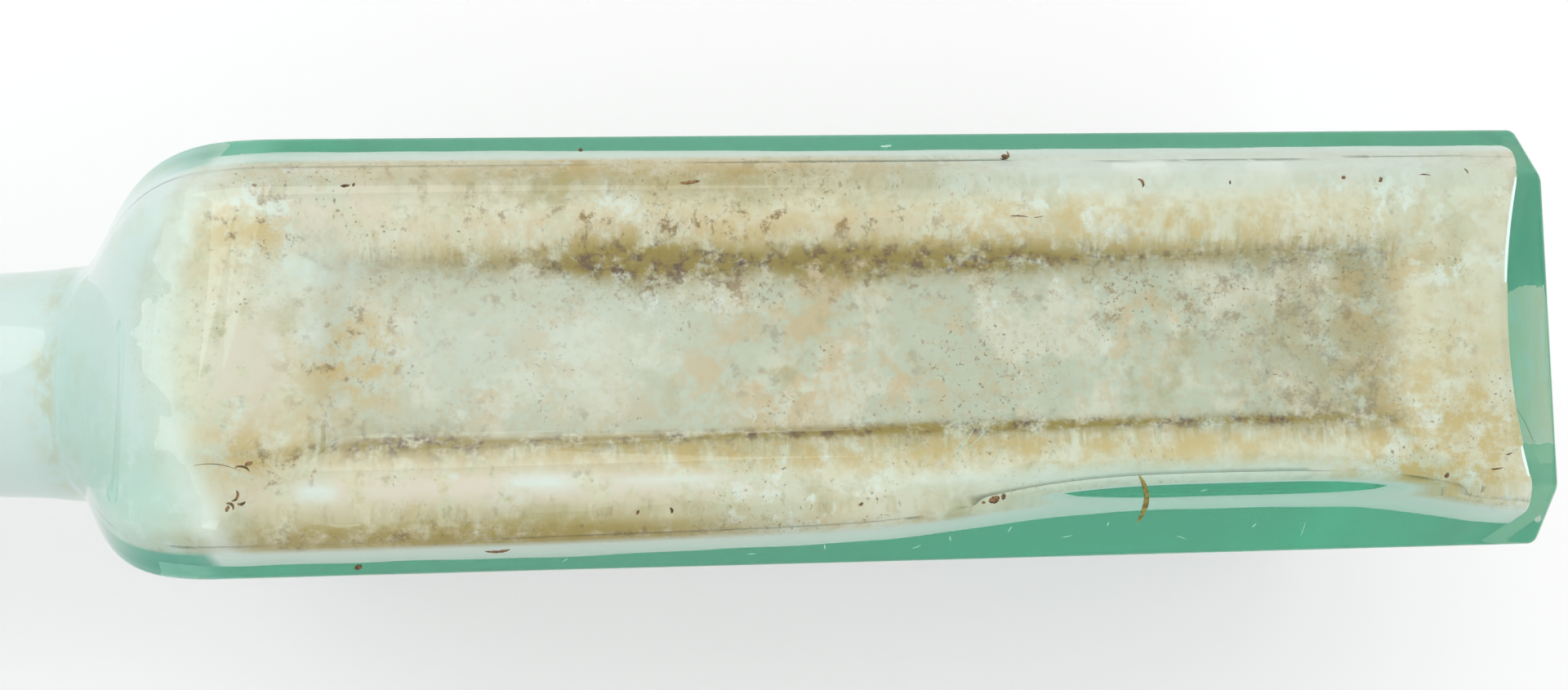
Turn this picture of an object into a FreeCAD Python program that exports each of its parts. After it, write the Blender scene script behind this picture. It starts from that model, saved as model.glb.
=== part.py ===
import FreeCAD
import Part
import Sketcher
import math
import os

from FreeCAD import Placement, Rotation, Vector

# Antique rectangular medicine bottle, corked and lying on a narrow side.
# Each piece is drawn upright, axis on Z with the base at Z = 0, and then laid down with the neck towards -X.

SIZES = {
    # Body block
    "body_width": 57.0,
    "body_depth": 33.0,
    "body_height": 97.0,
    "bevel_on_narrow_side": 4.4,
    "bevel_on_wide_side": 3.8,
    "heel_radius": 0.8,
    # Shoulder and neck
    "shoulder_height": 22.0,
    "neck_foot_diameter": 19.8,
    "neck_diameter": 19.2,
    "neck_length": 52.0,
    # Hollow
    "wall": 2.3,
    "base_thickness": 2.4,
    "cavity_bevel": 3.4,
    "shoulder_wall": 2.0,
    "bore_diameter": 13.6,
    "mouth_diameter": 14.8,
    "mouth_taper_length": 18.0,
    # Pushed-up base
    "push_up_margin": 6.0,
    "push_up_rise": 1.5,
    "floor_dome_margin": 0.6,
    "floor_dome_rise": 2.2,
    # Sunken panels
    "panel_recess": 1.0,
    "panel_foot": 8.2,
    "panel_head": 0.8,
    "panel_margin": 3.4,
    "panel_side_slope": 2.5,
    "panel_end_slope": 3.4,
    # Applied lip
    "lip_diameter": 26.4,
    "lip_height": 11.0,
    "lip_draft": 0.5,
    "lip_edge_chamfer": 1.2,
    "lip_seam": 0.03,
    # Cork
    "cork_depth": 16.0,
    "cork_stand": 9.0,
    "cork_clearance": 0.1,
    "cork_edge_chamfer": 0.7,
    # Dried residue inside the body
    "residue_thickness": 0.3,
    "residue_seam": 0.05,
    "residue_head": 4.0,
}

# Where the eight edges of a body section meet the neck's circle, in degrees from the wide axis
NARROW_SIDE_ANGLE = 35.0
WIDE_SIDE_ANGLE = 52.0
# The shoulder swells out before it turns in to the neck
SHOULDER_SWELL = 1.9
SHOULDER_STEPS = [0.0, 0.25, 0.45, 0.6, 0.72, 0.85, 1.0]
LAID_DOWN = Rotation(Vector(0, 1, 0), -90)

NECK_BASE = "(sizes.body_height + sizes.shoulder_height)"
MOUTH = f"({NECK_BASE} + sizes.neck_length)"
CAVITY_NECK = f"({NECK_BASE} - sizes.shoulder_wall)"
OVERALL_LENGTH = f"({MOUTH} + sizes.cork_stand)"

doc = FreeCAD.newDocument("antique_bottle")
sizes = doc.addObject("Spreadsheet::Sheet", "sizes")
for row, (alias, value) in enumerate(SIZES.items(), start=1):
    sizes.set(f"A{row}", alias)
    sizes.set(f"B{row}", str(value))
    sizes.setAlias(f"B{row}", alias)
doc.recompute()


def number(expression):
    """Value of an expression of the sheet, as a plain number."""
    value = sizes.evalExpression(expression)
    return float(getattr(value, "Value", value))


def new_body(label):
    """A piece, laid down with its overall length centred on X and its lower side on Z = 0."""
    body = doc.addObject("PartDesign::Body", label)
    body.Label = label
    body.Placement = Placement(Vector(0, 0, 0), LAID_DOWN)
    body.setExpression("Placement.Base.x", f"{OVERALL_LENGTH} / 2")
    body.setExpression("Placement.Base.z", "sizes.body_width / 2")
    return body


def new_sketch(body, name, plane_role, offset="0"):
    """An empty sketch on one of the body's own planes, moved out along that plane's normal."""
    plane = next(item for item in body.Origin.OriginFeatures if item.Role == plane_role)
    sketch = body.newObject("Sketcher::SketchObject", name)
    sketch.AttachmentSupport = [(plane, "")]
    sketch.MapMode = "FlatFace"
    sketch.setExpression("AttachmentOffset.Base.z", f"1mm * ({offset})")
    return sketch


def drive(sketch, name, constraint, expression):
    """Adds a dimension to a sketch and binds it to the sheet."""
    index = sketch.addConstraint(constraint)
    sketch.renameConstraint(index, name)
    sketch.setExpression(f"Constraints.{name}", expression)


def place_point(sketch, name, edge, end, point):
    """Holds one end of an edge at a point whose two coordinates are expressions."""
    along, up = point
    if along == "0":
        sketch.addConstraint(Sketcher.Constraint("PointOnObject", edge, end, -2))
    else:
        drive(sketch, f"{name}_x", Sketcher.Constraint("DistanceX", -1, 1, edge, end, number(along)), along)
    if up == "0":
        sketch.addConstraint(Sketcher.Constraint("PointOnObject", edge, end, -1))
    else:
        drive(sketch, f"{name}_y", Sketcher.Constraint("DistanceY", -1, 1, edge, end, number(up)), up)


def polygon_sketch(body, name, plane_role, points, offset="0"):
    """A closed outline of straight lines through points given as pairs of expressions."""
    sketch = new_sketch(body, name, plane_role, offset)
    corners = [Vector(number(along), number(up), 0) for along, up in points]
    count = len(corners)
    for index in range(count):
        sketch.addGeometry(Part.LineSegment(corners[index], corners[(index + 1) % count]), False)
    for index in range(count):
        sketch.addConstraint(Sketcher.Constraint("Coincident", index, 2, (index + 1) % count, 1))
    for index, point in enumerate(points):
        place_point(sketch, f"corner_{index}", index, 1, point)
    return sketch


def dome_sketch(body, name, rim_radius, foot, rise):
    """Half the outline of a shallow dome on the axis: its foot line, its axis and its arc."""
    sketch = new_sketch(body, name, "XZ_Plane")
    rim = Vector(number(rim_radius), number(foot), 0)
    centre = Vector(0, number(foot), 0)
    apex = Vector(0, number(foot) + number(rise), 0)
    radius = (rim.x ** 2 + number(rise) ** 2) / (2 * number(rise))
    half_angle = math.asin(rim.x / radius) / 2
    middle = apex + Vector(radius * math.sin(half_angle), radius * (math.cos(half_angle) - 1), 0)
    sketch.addGeometry(Part.LineSegment(centre, rim), False)
    sketch.addGeometry(Part.Arc(rim, middle, apex), False)
    sketch.addGeometry(Part.LineSegment(apex, centre), False)
    for index in range(3):
        sketch.addConstraint(Sketcher.Constraint("Coincident", index, 2, (index + 1) % 3, 1))
    sketch.addConstraint(Sketcher.Constraint("PointOnObject", 1, 3, -2))
    place_point(sketch, "centre", 0, 1, ("0", foot))
    place_point(sketch, "rim", 0, 2, (rim_radius, foot))
    place_point(sketch, "apex", 1, 2, ("0", f"{foot} + {rise}"))
    return sketch


def eight_edge_sketch(body, name, height, narrow_end, wide_end, radii=None):
    """A section across the bottle: two narrow sides, two wide sides and the four corners between them.

    narrow_end and wide_end are where a corner meets its narrow and its wide side. radii are those of
    the narrow sides, the corners and the wide sides, or nothing where all eight edges are straight.
    """
    sketch = new_sketch(body, name, "XY_Plane", height)
    near = Vector(number(narrow_end[0]), number(narrow_end[1]), 0)
    far = Vector(number(wide_end[0]), number(wide_end[1]), 0)
    quarter = [near, far]
    mirrored = [Vector(-point.x, point.y, 0) for point in reversed(quarter)]
    upper = quarter + mirrored
    lower = [Vector(point.x, -point.y, 0) for point in reversed(upper)]
    ring = [lower[-1]] + upper + lower[:-1]
    edge_radii = None
    if radii:
        narrow, corner, wide = [number(radius) for radius in radii]
        edge_radii = [narrow, corner, wide, corner] * 2
    for index, start in enumerate(ring):
        finish = ring[(index + 1) % len(ring)]
        edge = Part.LineSegment(start, finish)
        if edge_radii:
            half_chord = (finish - start).Length / 2
            rise = edge_radii[index] - math.sqrt(edge_radii[index] ** 2 - half_chord ** 2)
            outward = Vector(finish.y - start.y, start.x - finish.x, 0).normalize()
            edge = Part.Arc(start, (start + finish) / 2 + outward * rise, finish)
        sketch.addGeometry(edge, False)
    for index in range(len(ring)):
        sketch.addConstraint(Sketcher.Constraint("Coincident", index, 2, (index + 1) % len(ring), 1))
    for first, first_end, second, second_end, axis in [
        (0, 1, 0, 2, -1),
        (4, 1, 4, 2, -1),
        (2, 1, 2, 2, -2),
        (6, 1, 6, 2, -2),
        (0, 2, 4, 1, -2),
        (2, 1, 6, 2, -1),
    ]:
        sketch.addConstraint(Sketcher.Constraint("Symmetric", first, first_end, second, second_end, axis))
    place_point(sketch, "narrow_end", 0, 2, narrow_end)
    place_point(sketch, "wide_end", 2, 1, wide_end)
    if radii:
        for label, edge, radius in zip(["narrow_side", "corner", "wide_side"], range(3), radii):
            drive(sketch, label, Sketcher.Constraint("Radius", edge, number(radius)), radius)
        for edge, twin in [(0, 4), (2, 6), (1, 3), (1, 5), (1, 7)]:
            sketch.addConstraint(Sketcher.Constraint("Equal", edge, twin))
    return sketch


def blend(outline, circle, share):
    """An expression that goes from the circle's value at share 0 to the outline's at share 1."""
    return f"(({circle}) * {1 - share:.6f} + ({outline}) * {share:.6f})"


def shoulder_section(body, name, height, outline, neck_radius, share):
    """A section of the shoulder, part of the way from the body's eight sides to the neck's circle."""
    half_width, half_depth, narrow_bevel, wide_bevel = outline
    narrow_end = (
        blend(half_width, f"{neck_radius} * cos({NARROW_SIDE_ANGLE} deg)", share),
        blend(f"{half_depth} - {narrow_bevel}", f"{neck_radius} * sin({NARROW_SIDE_ANGLE} deg)", share),
    )
    wide_end = (
        blend(f"{half_width} - {wide_bevel}", f"{neck_radius} * cos({WIDE_SIDE_ANGLE} deg)", share),
        blend(half_depth, f"{neck_radius} * sin({WIDE_SIDE_ANGLE} deg)", share),
    )
    if share == 1:
        return eight_edge_sketch(body, name, height, narrow_end, wide_end)
    corner_run = f"({narrow_end[0]} - {wide_end[0]})"
    corner_rise = f"({wide_end[1]} - {narrow_end[1]})"
    half_chords = [narrow_end[1], f"(sqrt({corner_run}^2 + {corner_rise}^2) / 2)", wide_end[0]]
    half_angles = [NARROW_SIDE_ANGLE, (WIDE_SIDE_ANGLE - NARROW_SIDE_ANGLE) / 2, 90 - WIDE_SIDE_ANGLE]
    radii = []
    for half_chord, half_angle in zip(half_chords, half_angles):
        rise = f"({neck_radius} * (1 - cos({half_angle} deg)) * {1 - share:.6f})"
        radii.append(f"(({half_chord}^2 + {rise}^2) / (2 * {rise}))")
    return eight_edge_sketch(body, name, height, narrow_end, wide_end, radii)


def shoulder_loft(body, kind, name, outline, neck_radius, rise):
    """A loft through sections that swell and then turn in from the body's outline to the neck's circle."""
    sections = []
    for index, step in enumerate(SHOULDER_STEPS):
        share = (1 + math.cos(math.pi * step ** SHOULDER_SWELL)) / 2
        height = f"sizes.body_height + ({rise}) * {step}"
        sections.append(shoulder_section(body, f"{name}_section_{index}", height, outline, neck_radius, share))
    doc.recompute()
    loft = body.newObject(f"PartDesign::{kind}", name)
    loft.Profile = sections[0]
    loft.Sections = sections[1:]
    return loft


def revolve(body, kind, name, sketch):
    """Turns a sketch right round the upright axis of its own plane."""
    feature = body.newObject(f"PartDesign::{kind}", name)
    feature.Profile = sketch
    feature.ReferenceAxis = (sketch, ["V_Axis"])
    feature.Angle = 360
    return feature


def ease_edges(body, kind, name, base, amount, wanted):
    """Rounds or chamfers the edges of the latest feature that the test picks out."""
    doc.recompute()
    picked = [f"Edge{index}" for index, edge in enumerate(base.Shape.Edges, start=1) if wanted(edge)]
    if not picked:
        raise RuntimeError(f"{name}: no edge to ease")
    feature = body.newObject(f"PartDesign::{kind}", name)
    feature.Base = (base, picked)
    feature.setExpression("Radius" if kind == "Fillet" else "Size", amount)
    return feature


def sunken_panel(body, name, plane_role, mirror_role, face, half_flat):
    """A sunken panel with sloping sides in one face, and its twin in the opposite face."""
    outer_half = f"({half_flat} - sizes.panel_margin)"
    inner_half = f"({outer_half} - sizes.panel_side_slope)"
    foot = "sizes.panel_foot"
    head = "(sizes.body_height - sizes.panel_head)"

    def rectangle(label, half, low, high, offset):
        corners = [(f"-{half}", low), (half, low), (half, high), (f"-{half}", high)]
        return polygon_sketch(body, label, plane_role, corners, offset)

    rim = rectangle(f"{name}_rim", outer_half, foot, head, face)
    floor = rectangle(
        f"{name}_floor",
        inner_half,
        f"{foot} + sizes.panel_end_slope",
        f"{head} - sizes.panel_end_slope",
        f"{face} - sizes.panel_recess",
    )
    doc.recompute()
    recess = body.newObject("PartDesign::SubtractiveLoft", name)
    recess.Profile = rim
    recess.Sections = [floor]
    recess.Ruled = True
    doc.recompute()
    twin = body.newObject("PartDesign::Mirrored", f"{name}_twin")
    twin.Originals = [recess]
    twin.MirrorPlane = (next(item for item in body.Origin.OriginFeatures if item.Role == mirror_role), [""])
    body.Tip = twin
    doc.recompute()
    return twin


def body_outline(inset, narrow_bevel, wide_bevel):
    """Half width, half depth and bevels of the body's section, drawn in from the outside by an inset."""
    return (
        f"(sizes.body_width / 2 - {inset})",
        f"(sizes.body_depth / 2 - {inset})",
        narrow_bevel,
        wide_bevel,
    )


def outline_sketch(body, name, height, outline):
    """The body's eight straight sides at one height."""
    half_width, half_depth, narrow_bevel, wide_bevel = outline
    narrow_end = (half_width, f"{half_depth} - {narrow_bevel}")
    wide_end = (f"{half_width} - {wide_bevel}", half_depth)
    return eight_edge_sketch(body, name, height, narrow_end, wide_end)


def prism(body, kind, name, sketch, length):
    """Pads a sketch upwards, or pockets it upwards out of the body."""
    feature = body.newObject(f"PartDesign::{kind}", name)
    feature.Profile = sketch
    feature.setExpression("Length", length)
    feature.Reversed = kind == "Pocket"
    return feature


def bore_radius_at(depth):
    """Radius of the tapered mouth at a depth below the lip, negative above it."""
    slope = "((sizes.mouth_diameter - sizes.bore_diameter) / 2 / sizes.mouth_taper_length)"
    return f"(sizes.mouth_diameter / 2 - {slope} * ({depth}))"


# Blown glass: body, shoulder and neck in one piece
OUTSIDE = body_outline("0", "sizes.bevel_on_narrow_side", "sizes.bevel_on_wide_side")
INSIDE = body_outline("sizes.wall", "sizes.cavity_bevel", "sizes.cavity_bevel")


def build_bottle_glass():
    """The hollow glass, from the pushed-up base to the open mouth."""
    body = new_body("bottle_glass")
    block = prism(body, "Pad", "body_block", outline_sketch(body, "body_outline", "0", OUTSIDE), "sizes.body_height")
    ease_edges(
        body,
        "Fillet",
        "heel",
        block,
        "sizes.heel_radius",
        lambda edge: edge.BoundBox.ZMax < number("sizes.heel_radius"),
    )
    doc.recompute()
    shoulder_loft(body, "AdditiveLoft", "shoulder", OUTSIDE, "sizes.neck_foot_diameter / 2", "sizes.shoulder_height")
    doc.recompute()
    neck_profile = [
        ("0", NECK_BASE),
        ("sizes.neck_foot_diameter / 2", NECK_BASE),
        ("sizes.neck_diameter / 2", f"{MOUTH} - sizes.lip_height"),
        ("sizes.neck_diameter / 2", MOUTH),
        ("0", MOUTH),
    ]
    revolve(body, "Revolution", "neck", polygon_sketch(body, "neck_profile", "XZ_Plane", neck_profile))
    doc.recompute()
    sunken_panel(
        body,
        "narrow_panel",
        "YZ_Plane",
        "YZ_Plane",
        "sizes.body_width / 2",
        "(sizes.body_depth / 2 - sizes.bevel_on_narrow_side)",
    )
    sunken_panel(
        body,
        "wide_panel",
        "XZ_Plane",
        "XZ_Plane",
        "sizes.body_depth / 2",
        "(sizes.body_width / 2 - sizes.bevel_on_wide_side)",
    )
    hollow_out(body)
    return body


def hollow_out(body):
    """Cuts the bore, the shoulder's hollow and the body's hollow, and domes the base inside and out."""
    bore_profile = [
        ("0", CAVITY_NECK),
        ("sizes.bore_diameter / 2", CAVITY_NECK),
        ("sizes.bore_diameter / 2", f"{MOUTH} - sizes.mouth_taper_length"),
        ("sizes.mouth_diameter / 2", MOUTH),
        ("0", MOUTH),
    ]
    revolve(body, "Groove", "bore", polygon_sketch(body, "bore_profile", "XZ_Plane", bore_profile))
    doc.recompute()
    rise = "sizes.shoulder_height - sizes.shoulder_wall"
    shoulder_loft(body, "SubtractiveLoft", "shoulder_hollow", INSIDE, "sizes.bore_diameter / 2", rise)
    doc.recompute()
    cavity = outline_sketch(body, "cavity_outline", "sizes.base_thickness", INSIDE)
    prism(body, "Pocket", "cavity", cavity, "sizes.body_height - sizes.base_thickness")
    doc.recompute()
    dome_radius = "(sizes.body_depth / 2 - sizes.wall - sizes.floor_dome_margin)"
    dome = dome_sketch(body, "floor_dome_profile", dome_radius, "sizes.base_thickness", "sizes.floor_dome_rise")
    revolve(body, "Revolution", "floor_dome", dome)
    doc.recompute()
    push_up_radius = "(sizes.body_depth / 2 - sizes.push_up_margin)"
    push_up = dome_sketch(body, "push_up_profile", push_up_radius, "0", "sizes.push_up_rise")
    revolve(body, "Groove", "push_up", push_up)
    doc.recompute()


def build_applied_lip():
    """The flat band of glass laid round the end of the neck."""
    body = new_body("applied_lip")
    inner = "(sizes.neck_diameter / 2 + sizes.lip_seam)"
    outer = "(sizes.lip_diameter / 2)"
    profile = [
        (inner, f"{MOUTH} - sizes.lip_height"),
        (f"{outer} - sizes.lip_draft", f"{MOUTH} - sizes.lip_height"),
        (outer, MOUTH),
        (inner, MOUTH),
    ]
    ring = revolve(body, "Revolution", "lip_ring", polygon_sketch(body, "lip_profile", "XZ_Plane", profile))
    outer_edge = number(f"{outer} - sizes.lip_draft") - number("sizes.lip_seam")
    ease_edges(
        body,
        "Chamfer",
        "lip_edges",
        ring,
        "sizes.lip_edge_chamfer",
        lambda edge: edge.Closed and edge.BoundBox.XMax > outer_edge,
    )
    return body


def build_cork_stopper():
    """The tapered cork, seated in the mouth and standing out past the lip."""
    body = new_body("cork_stopper")
    inner_end = f"({bore_radius_at('sizes.cork_depth')} - sizes.cork_clearance)"
    outer_end = f"({bore_radius_at('-sizes.cork_stand')} - sizes.cork_clearance)"
    profile = [
        ("0", f"{MOUTH} - sizes.cork_depth"),
        (inner_end, f"{MOUTH} - sizes.cork_depth"),
        (outer_end, OVERALL_LENGTH),
        ("0", OVERALL_LENGTH),
    ]
    taper = revolve(body, "Revolution", "cork_taper", polygon_sketch(body, "cork_profile", "XZ_Plane", profile))
    ease_edges(body, "Chamfer", "cork_edges", taper, "sizes.cork_edge_chamfer", lambda edge: edge.Closed)
    return body


def build_residue_lining():
    """The thin dried deposit on the inner walls of the body."""
    body = new_body("residue_lining")
    outer = body_outline("(sizes.wall + sizes.residue_seam)", "sizes.cavity_bevel", "sizes.cavity_bevel")
    inner = body_outline(
        "(sizes.wall + sizes.residue_seam + sizes.residue_thickness)", "sizes.cavity_bevel", "sizes.cavity_bevel"
    )
    height = "sizes.body_height - sizes.residue_head - sizes.base_thickness"
    prism(body, "Pad", "deposit", outline_sketch(body, "deposit_outline", "sizes.base_thickness", outer), height)
    doc.recompute()
    prism(body, "Pocket", "open_inside", outline_sketch(body, "inside_outline", "sizes.base_thickness", inner), height)
    return body


pieces = [build_bottle_glass(), build_applied_lip(), build_cork_stopper(), build_residue_lining()]
doc.recompute()

for item in doc.Objects:
    if "Invalid" in item.State or "Error" in item.State:
        raise RuntimeError(f"{item.Label}: {item.State}")
for piece in pieces:
    shape = piece.Shape
    if shape.isNull() or not shape.isValid() or len(shape.Solids) != 1:
        raise RuntimeError(f"{piece.Label}: the shape is not one valid solid")

os.makedirs("parts", exist_ok=True)
for piece in pieces:
    piece.Shape.exportStep(f"parts/{piece.Label}.step")
    box = piece.Shape.BoundBox
    print(f"{piece.Label}: {piece.Shape.Volume:.1f} mm3, X {box.XMin:.2f} to {box.XMax:.2f},"
          f" Y {box.YMin:.2f} to {box.YMax:.2f}, Z {box.ZMin:.2f} to {box.ZMax:.2f}")
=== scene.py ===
"""Looks of an old aqua glass medicine bottle that lies corked on one of its narrow sides."""

import logging
import math
from dataclasses import dataclass, field
from enum import Enum
from typing import ClassVar, Sequence

import bmesh
import bpy
import numpy as np
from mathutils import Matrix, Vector
from mathutils.bvhtree import BVHTree


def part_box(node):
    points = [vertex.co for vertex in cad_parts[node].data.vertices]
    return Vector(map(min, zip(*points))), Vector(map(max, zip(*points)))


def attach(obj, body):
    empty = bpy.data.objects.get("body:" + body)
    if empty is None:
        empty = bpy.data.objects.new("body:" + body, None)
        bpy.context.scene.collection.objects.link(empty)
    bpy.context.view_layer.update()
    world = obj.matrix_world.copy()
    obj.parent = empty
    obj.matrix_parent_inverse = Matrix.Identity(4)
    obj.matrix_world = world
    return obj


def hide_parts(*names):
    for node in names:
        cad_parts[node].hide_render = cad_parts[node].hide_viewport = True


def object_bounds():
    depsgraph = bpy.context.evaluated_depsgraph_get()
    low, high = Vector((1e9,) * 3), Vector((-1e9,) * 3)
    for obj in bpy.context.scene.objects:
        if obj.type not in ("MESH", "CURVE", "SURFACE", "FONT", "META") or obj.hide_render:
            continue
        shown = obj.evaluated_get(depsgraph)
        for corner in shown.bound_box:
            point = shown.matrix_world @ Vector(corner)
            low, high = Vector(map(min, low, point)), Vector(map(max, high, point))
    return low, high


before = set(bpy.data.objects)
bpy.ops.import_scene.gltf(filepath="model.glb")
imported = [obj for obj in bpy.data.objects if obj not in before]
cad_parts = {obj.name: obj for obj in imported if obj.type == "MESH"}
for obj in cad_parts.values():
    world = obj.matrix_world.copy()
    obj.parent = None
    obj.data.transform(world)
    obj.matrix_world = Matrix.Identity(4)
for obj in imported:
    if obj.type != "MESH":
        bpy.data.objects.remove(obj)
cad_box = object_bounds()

LOG = logging.getLogger("bottle")
MM = 0.001
Colour = tuple[float, float, float, float]
Plug = bpy.types.NodeSocket | float | tuple[float, ...]


class Body(Enum):
    """The bodies that the pieces move with."""

    BOTTLE = "bottle"
    CORK = "cork"


class Slot(Enum):
    """The finishes that the record names."""

    GLASS = "aqua_glass"
    CORK = "cork"
    RESIDUE = "dried_residue"


class Deposit(Enum):
    """Kinds of dried residue and of painted shade and glints, each a layer of weights on the lining's
    points.
    """

    BLOOM = "bloom"
    PANEL = "panel"
    SLOPE = "slope"
    # Painted shade: darker mint on the shoulder, towards its lower side
    MINT_SHADE = "mint"
    MILK = "milk"
    CREAM = "cream"
    PINK = "pink"
    TAN = "tan"
    BROWN = "brown"
    GRIME = "grime"
    SPECK = "speck"
    # Painted shade: darker teal on the wide walls below the shoulder, for light led along the glass
    SHADE = "shade"
    # Near white: a rim along the deposit's edge and a band down the upper walls, with painted glints in
    # patches
    RIM_AND_GLINT = "rim"


def smooth(low: float, high: float, value: np.ndarray) -> np.ndarray:
    """Ease from 0 to 1.

    Args:
        low: Where the rise starts.
        high: Where the rise ends. It may be below low, for a fall.
        value: The values to ease.

    Returns:
        The eased shares, one for each value.
    """
    share = np.clip((value - low) / (high - low), 0.0, 1.0)
    return share * share * (3.0 - 2.0 * share)


def on_wall(facing: np.ndarray) -> np.ndarray:
    """Return how far points lie on the wide walls, from how far they face up."""
    return smooth(0.5, 0.2, np.abs(facing))


def graded(stops: Sequence[float], counts: Sequence[int]) -> np.ndarray:
    """Space points unevenly along a line.

    Args:
        stops: The ends of the stretches, in order.
        counts: How many steps each stretch has.

    Returns:
        The places of the points, both ends included.
    """
    parts = [np.linspace(a, b, n, endpoint=False) for a, b, n in zip(stops, stops[1:], counts)]
    return np.append(np.concatenate(parts), stops[-1])


@dataclass(frozen=True)
class Seat:
    """The lying bottle's own coordinates: width and depth across it, height from its base.

    Attributes:
        base: World X of the flat base, in metres.
        axis_y: World Y of the bottle's axis, in metres.
        axis_z: World Z of the bottle's axis, in metres.
    """

    base: float
    axis_y: float
    axis_z: float

    @classmethod
    def of_node(cls, node: str) -> "Seat":
        """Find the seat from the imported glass.

        Args:
            node: The name of the glass node.

        Returns:
            The seat of that node.
        """
        low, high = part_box(node)
        return cls(high.x, (low.y + high.y) / 2, (low.z + high.z) / 2)

    def world(self, points: np.ndarray) -> np.ndarray:
        """Turn points from the bottle's own millimetres into the world's metres.

        Args:
            points: Width, depth and height of each point.

        Returns:
            The world points.
        """
        width, depth, height = (points[..., i] * MM for i in range(3))
        return np.stack([self.base - height, self.axis_y + depth, self.axis_z + width], axis=-1)


@dataclass(frozen=True)
class Ripple:
    """The slow unevenness of hand-worked stuff, a sum of seeded plane waves.

    Attributes:
        seed: Seed of the waves' headings.
        depth: The greatest height of the sum, in millimetres.
        longest: The longest wave, in millimetres.
        shortest: The shortest wave, in millimetres.
        waves: How many waves are added.
    """

    seed: int
    depth: float
    longest: float
    shortest: float
    waves: int = 10
    # How far the crests of the sum stand above its usual height
    CREST: ClassVar[float] = 1.6

    def at(self, points: np.ndarray) -> np.ndarray:
        """Measure the unevenness.

        Args:
            points: Points in millimetres.

        Returns:
            A height for each point, between -depth and depth.
        """
        rng = np.random.default_rng(self.seed)
        lengths = np.geomspace(self.longest, self.shortest, self.waves)
        headings = rng.normal(size=(self.waves, 3))
        headings /= np.linalg.norm(headings, axis=1, keepdims=True)
        phases = rng.uniform(0.0, 2.0 * math.pi, self.waves)
        turns = points @ (headings * (2.0 * math.pi / lengths)[:, None]).T + phases
        return self.depth * np.sin(turns).sum(axis=-1) / math.sqrt(2.0 * self.waves) / self.CREST


@dataclass(frozen=True)
class Outline:
    """A rectangle with bevelled corners, the section of the bottle's body.

    Attributes:
        half_width: Half of the wide way across.
        half_depth: Half of the narrow way across.
        bevel_width: What a bevel takes off the width, at each end.
        bevel_depth: What a bevel takes off the depth, at each end.
        rounding: Length of side that each of the eight corners is rounded over.
    """

    half_width: float
    half_depth: float
    bevel_width: float
    bevel_depth: float
    rounding: float
    # What a bevel loses of its width and of its depth for each millimetre of inset
    WIDTH_LOSS: ClassVar[float] = 0.54
    DEPTH_LOSS: ClassVar[float] = 0.63

    def corners(self) -> np.ndarray:
        """List the corners.

        Returns:
            The eight corners, from the upper narrow side round through the depth.
        """
        a, b = self.half_width, self.half_depth
        a1, b1 = a - self.bevel_width, b - self.bevel_depth
        quarter = [(a, -b1), (a, b1), (a1, b), (-a1, b)]
        return np.array(quarter + [(-x, -y) for x, y in quarter])

    def inset(self, amount: float) -> "Outline":
        """Move the outline in all round.

        Args:
            amount: How far it moves in.

        Returns:
            The smaller outline.
        """
        return Outline(
            self.half_width - amount,
            self.half_depth - amount,
            self.bevel_width - self.WIDTH_LOSS * amount,
            self.bevel_depth - self.DEPTH_LOSS * amount,
            self.rounding,
        )


class Side(Enum):
    """What a ring's point lies on."""

    NARROW = 0
    WIDE = 1
    EDGE = 2


class RingPlan:
    """How the points of every ring are shared out, so that any two rings can be joined or mixed."""

    NARROW_STOPS = (-1.0, -0.75, -0.48, 0.48, 0.75, 1.0)
    NARROW_STEPS = (6, 8, 16, 8, 6)
    WIDE_STOPS = (-1.0, -0.89, -0.73, 0.73, 0.89, 1.0)
    WIDE_STEPS = (5, 8, 32, 8, 5)
    BEVEL_STEPS = 8
    CORNER_STEPS = 4
    NARROW_ANGLE = 35.0
    WIDE_ANGLE = 52.0

    def __init__(self) -> None:
        """Lay out the shares of the eight sides."""
        narrow = (graded(self.NARROW_STOPS, self.NARROW_STEPS) + 1.0) / 2.0
        wide = (graded(self.WIDE_STOPS, self.WIDE_STEPS) + 1.0) / 2.0
        bevel = np.linspace(0.0, 1.0, self.BEVEL_STEPS + 1)
        self.shares = [narrow, bevel, wide, bevel] * 2
        half = [-self.NARROW_ANGLE, self.NARROW_ANGLE, self.WIDE_ANGLE, 180.0 - self.WIDE_ANGLE]
        self.angles = np.radians(half + [180.0 + angle for angle in half] + [360.0 - self.NARROW_ANGLE])
        kinds = [Side.NARROW, Side.EDGE, Side.WIDE, Side.EDGE] * 2
        marks = []
        for kind, shares in zip(kinds, self.shares):
            marks += [kind.value] * len(shares) + [Side.EDGE.value] * (self.CORNER_STEPS - 1)
        self.sides = np.array(marks)

    def trace(self, outline: Outline) -> tuple[np.ndarray, np.ndarray]:
        """Set the points on an outline.

        Args:
            outline: The outline to follow.

        Returns:
            The points, and the angles that stand for them on a round ring.
        """
        corners = outline.corners()
        steps = np.linspace(0.0, 1.0, self.CORNER_STEPS + 1)[1:-1]
        points, angles = [], []
        for i, shares in enumerate(self.shares):
            start, end, after = corners[i], corners[(i + 1) % 8], corners[(i + 2) % 8]
            trim = outline.rounding / np.linalg.norm(end - start)
            next_trim = outline.rounding / np.linalg.norm(after - end)
            along = trim + shares * (1.0 - 2.0 * trim)
            points.append(start + along[:, None] * (end - start))
            turn = self.angles[i + 1] - self.angles[i]
            angles.append(self.angles[i] + along * turn)
            last, first = points[-1][-1], end + next_trim * (after - end)
            s = steps[:, None]
            points.append((1 - s) ** 2 * last + 2 * s * (1 - s) * end + s**2 * first)
            next_turn = (self.angles[(i + 1) % 8 + 1] - self.angles[(i + 1) % 8]) * next_trim
            angles.append(angles[-1][-1] + steps * (trim * turn + next_turn))
        return np.concatenate(points), np.concatenate(angles)


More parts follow.
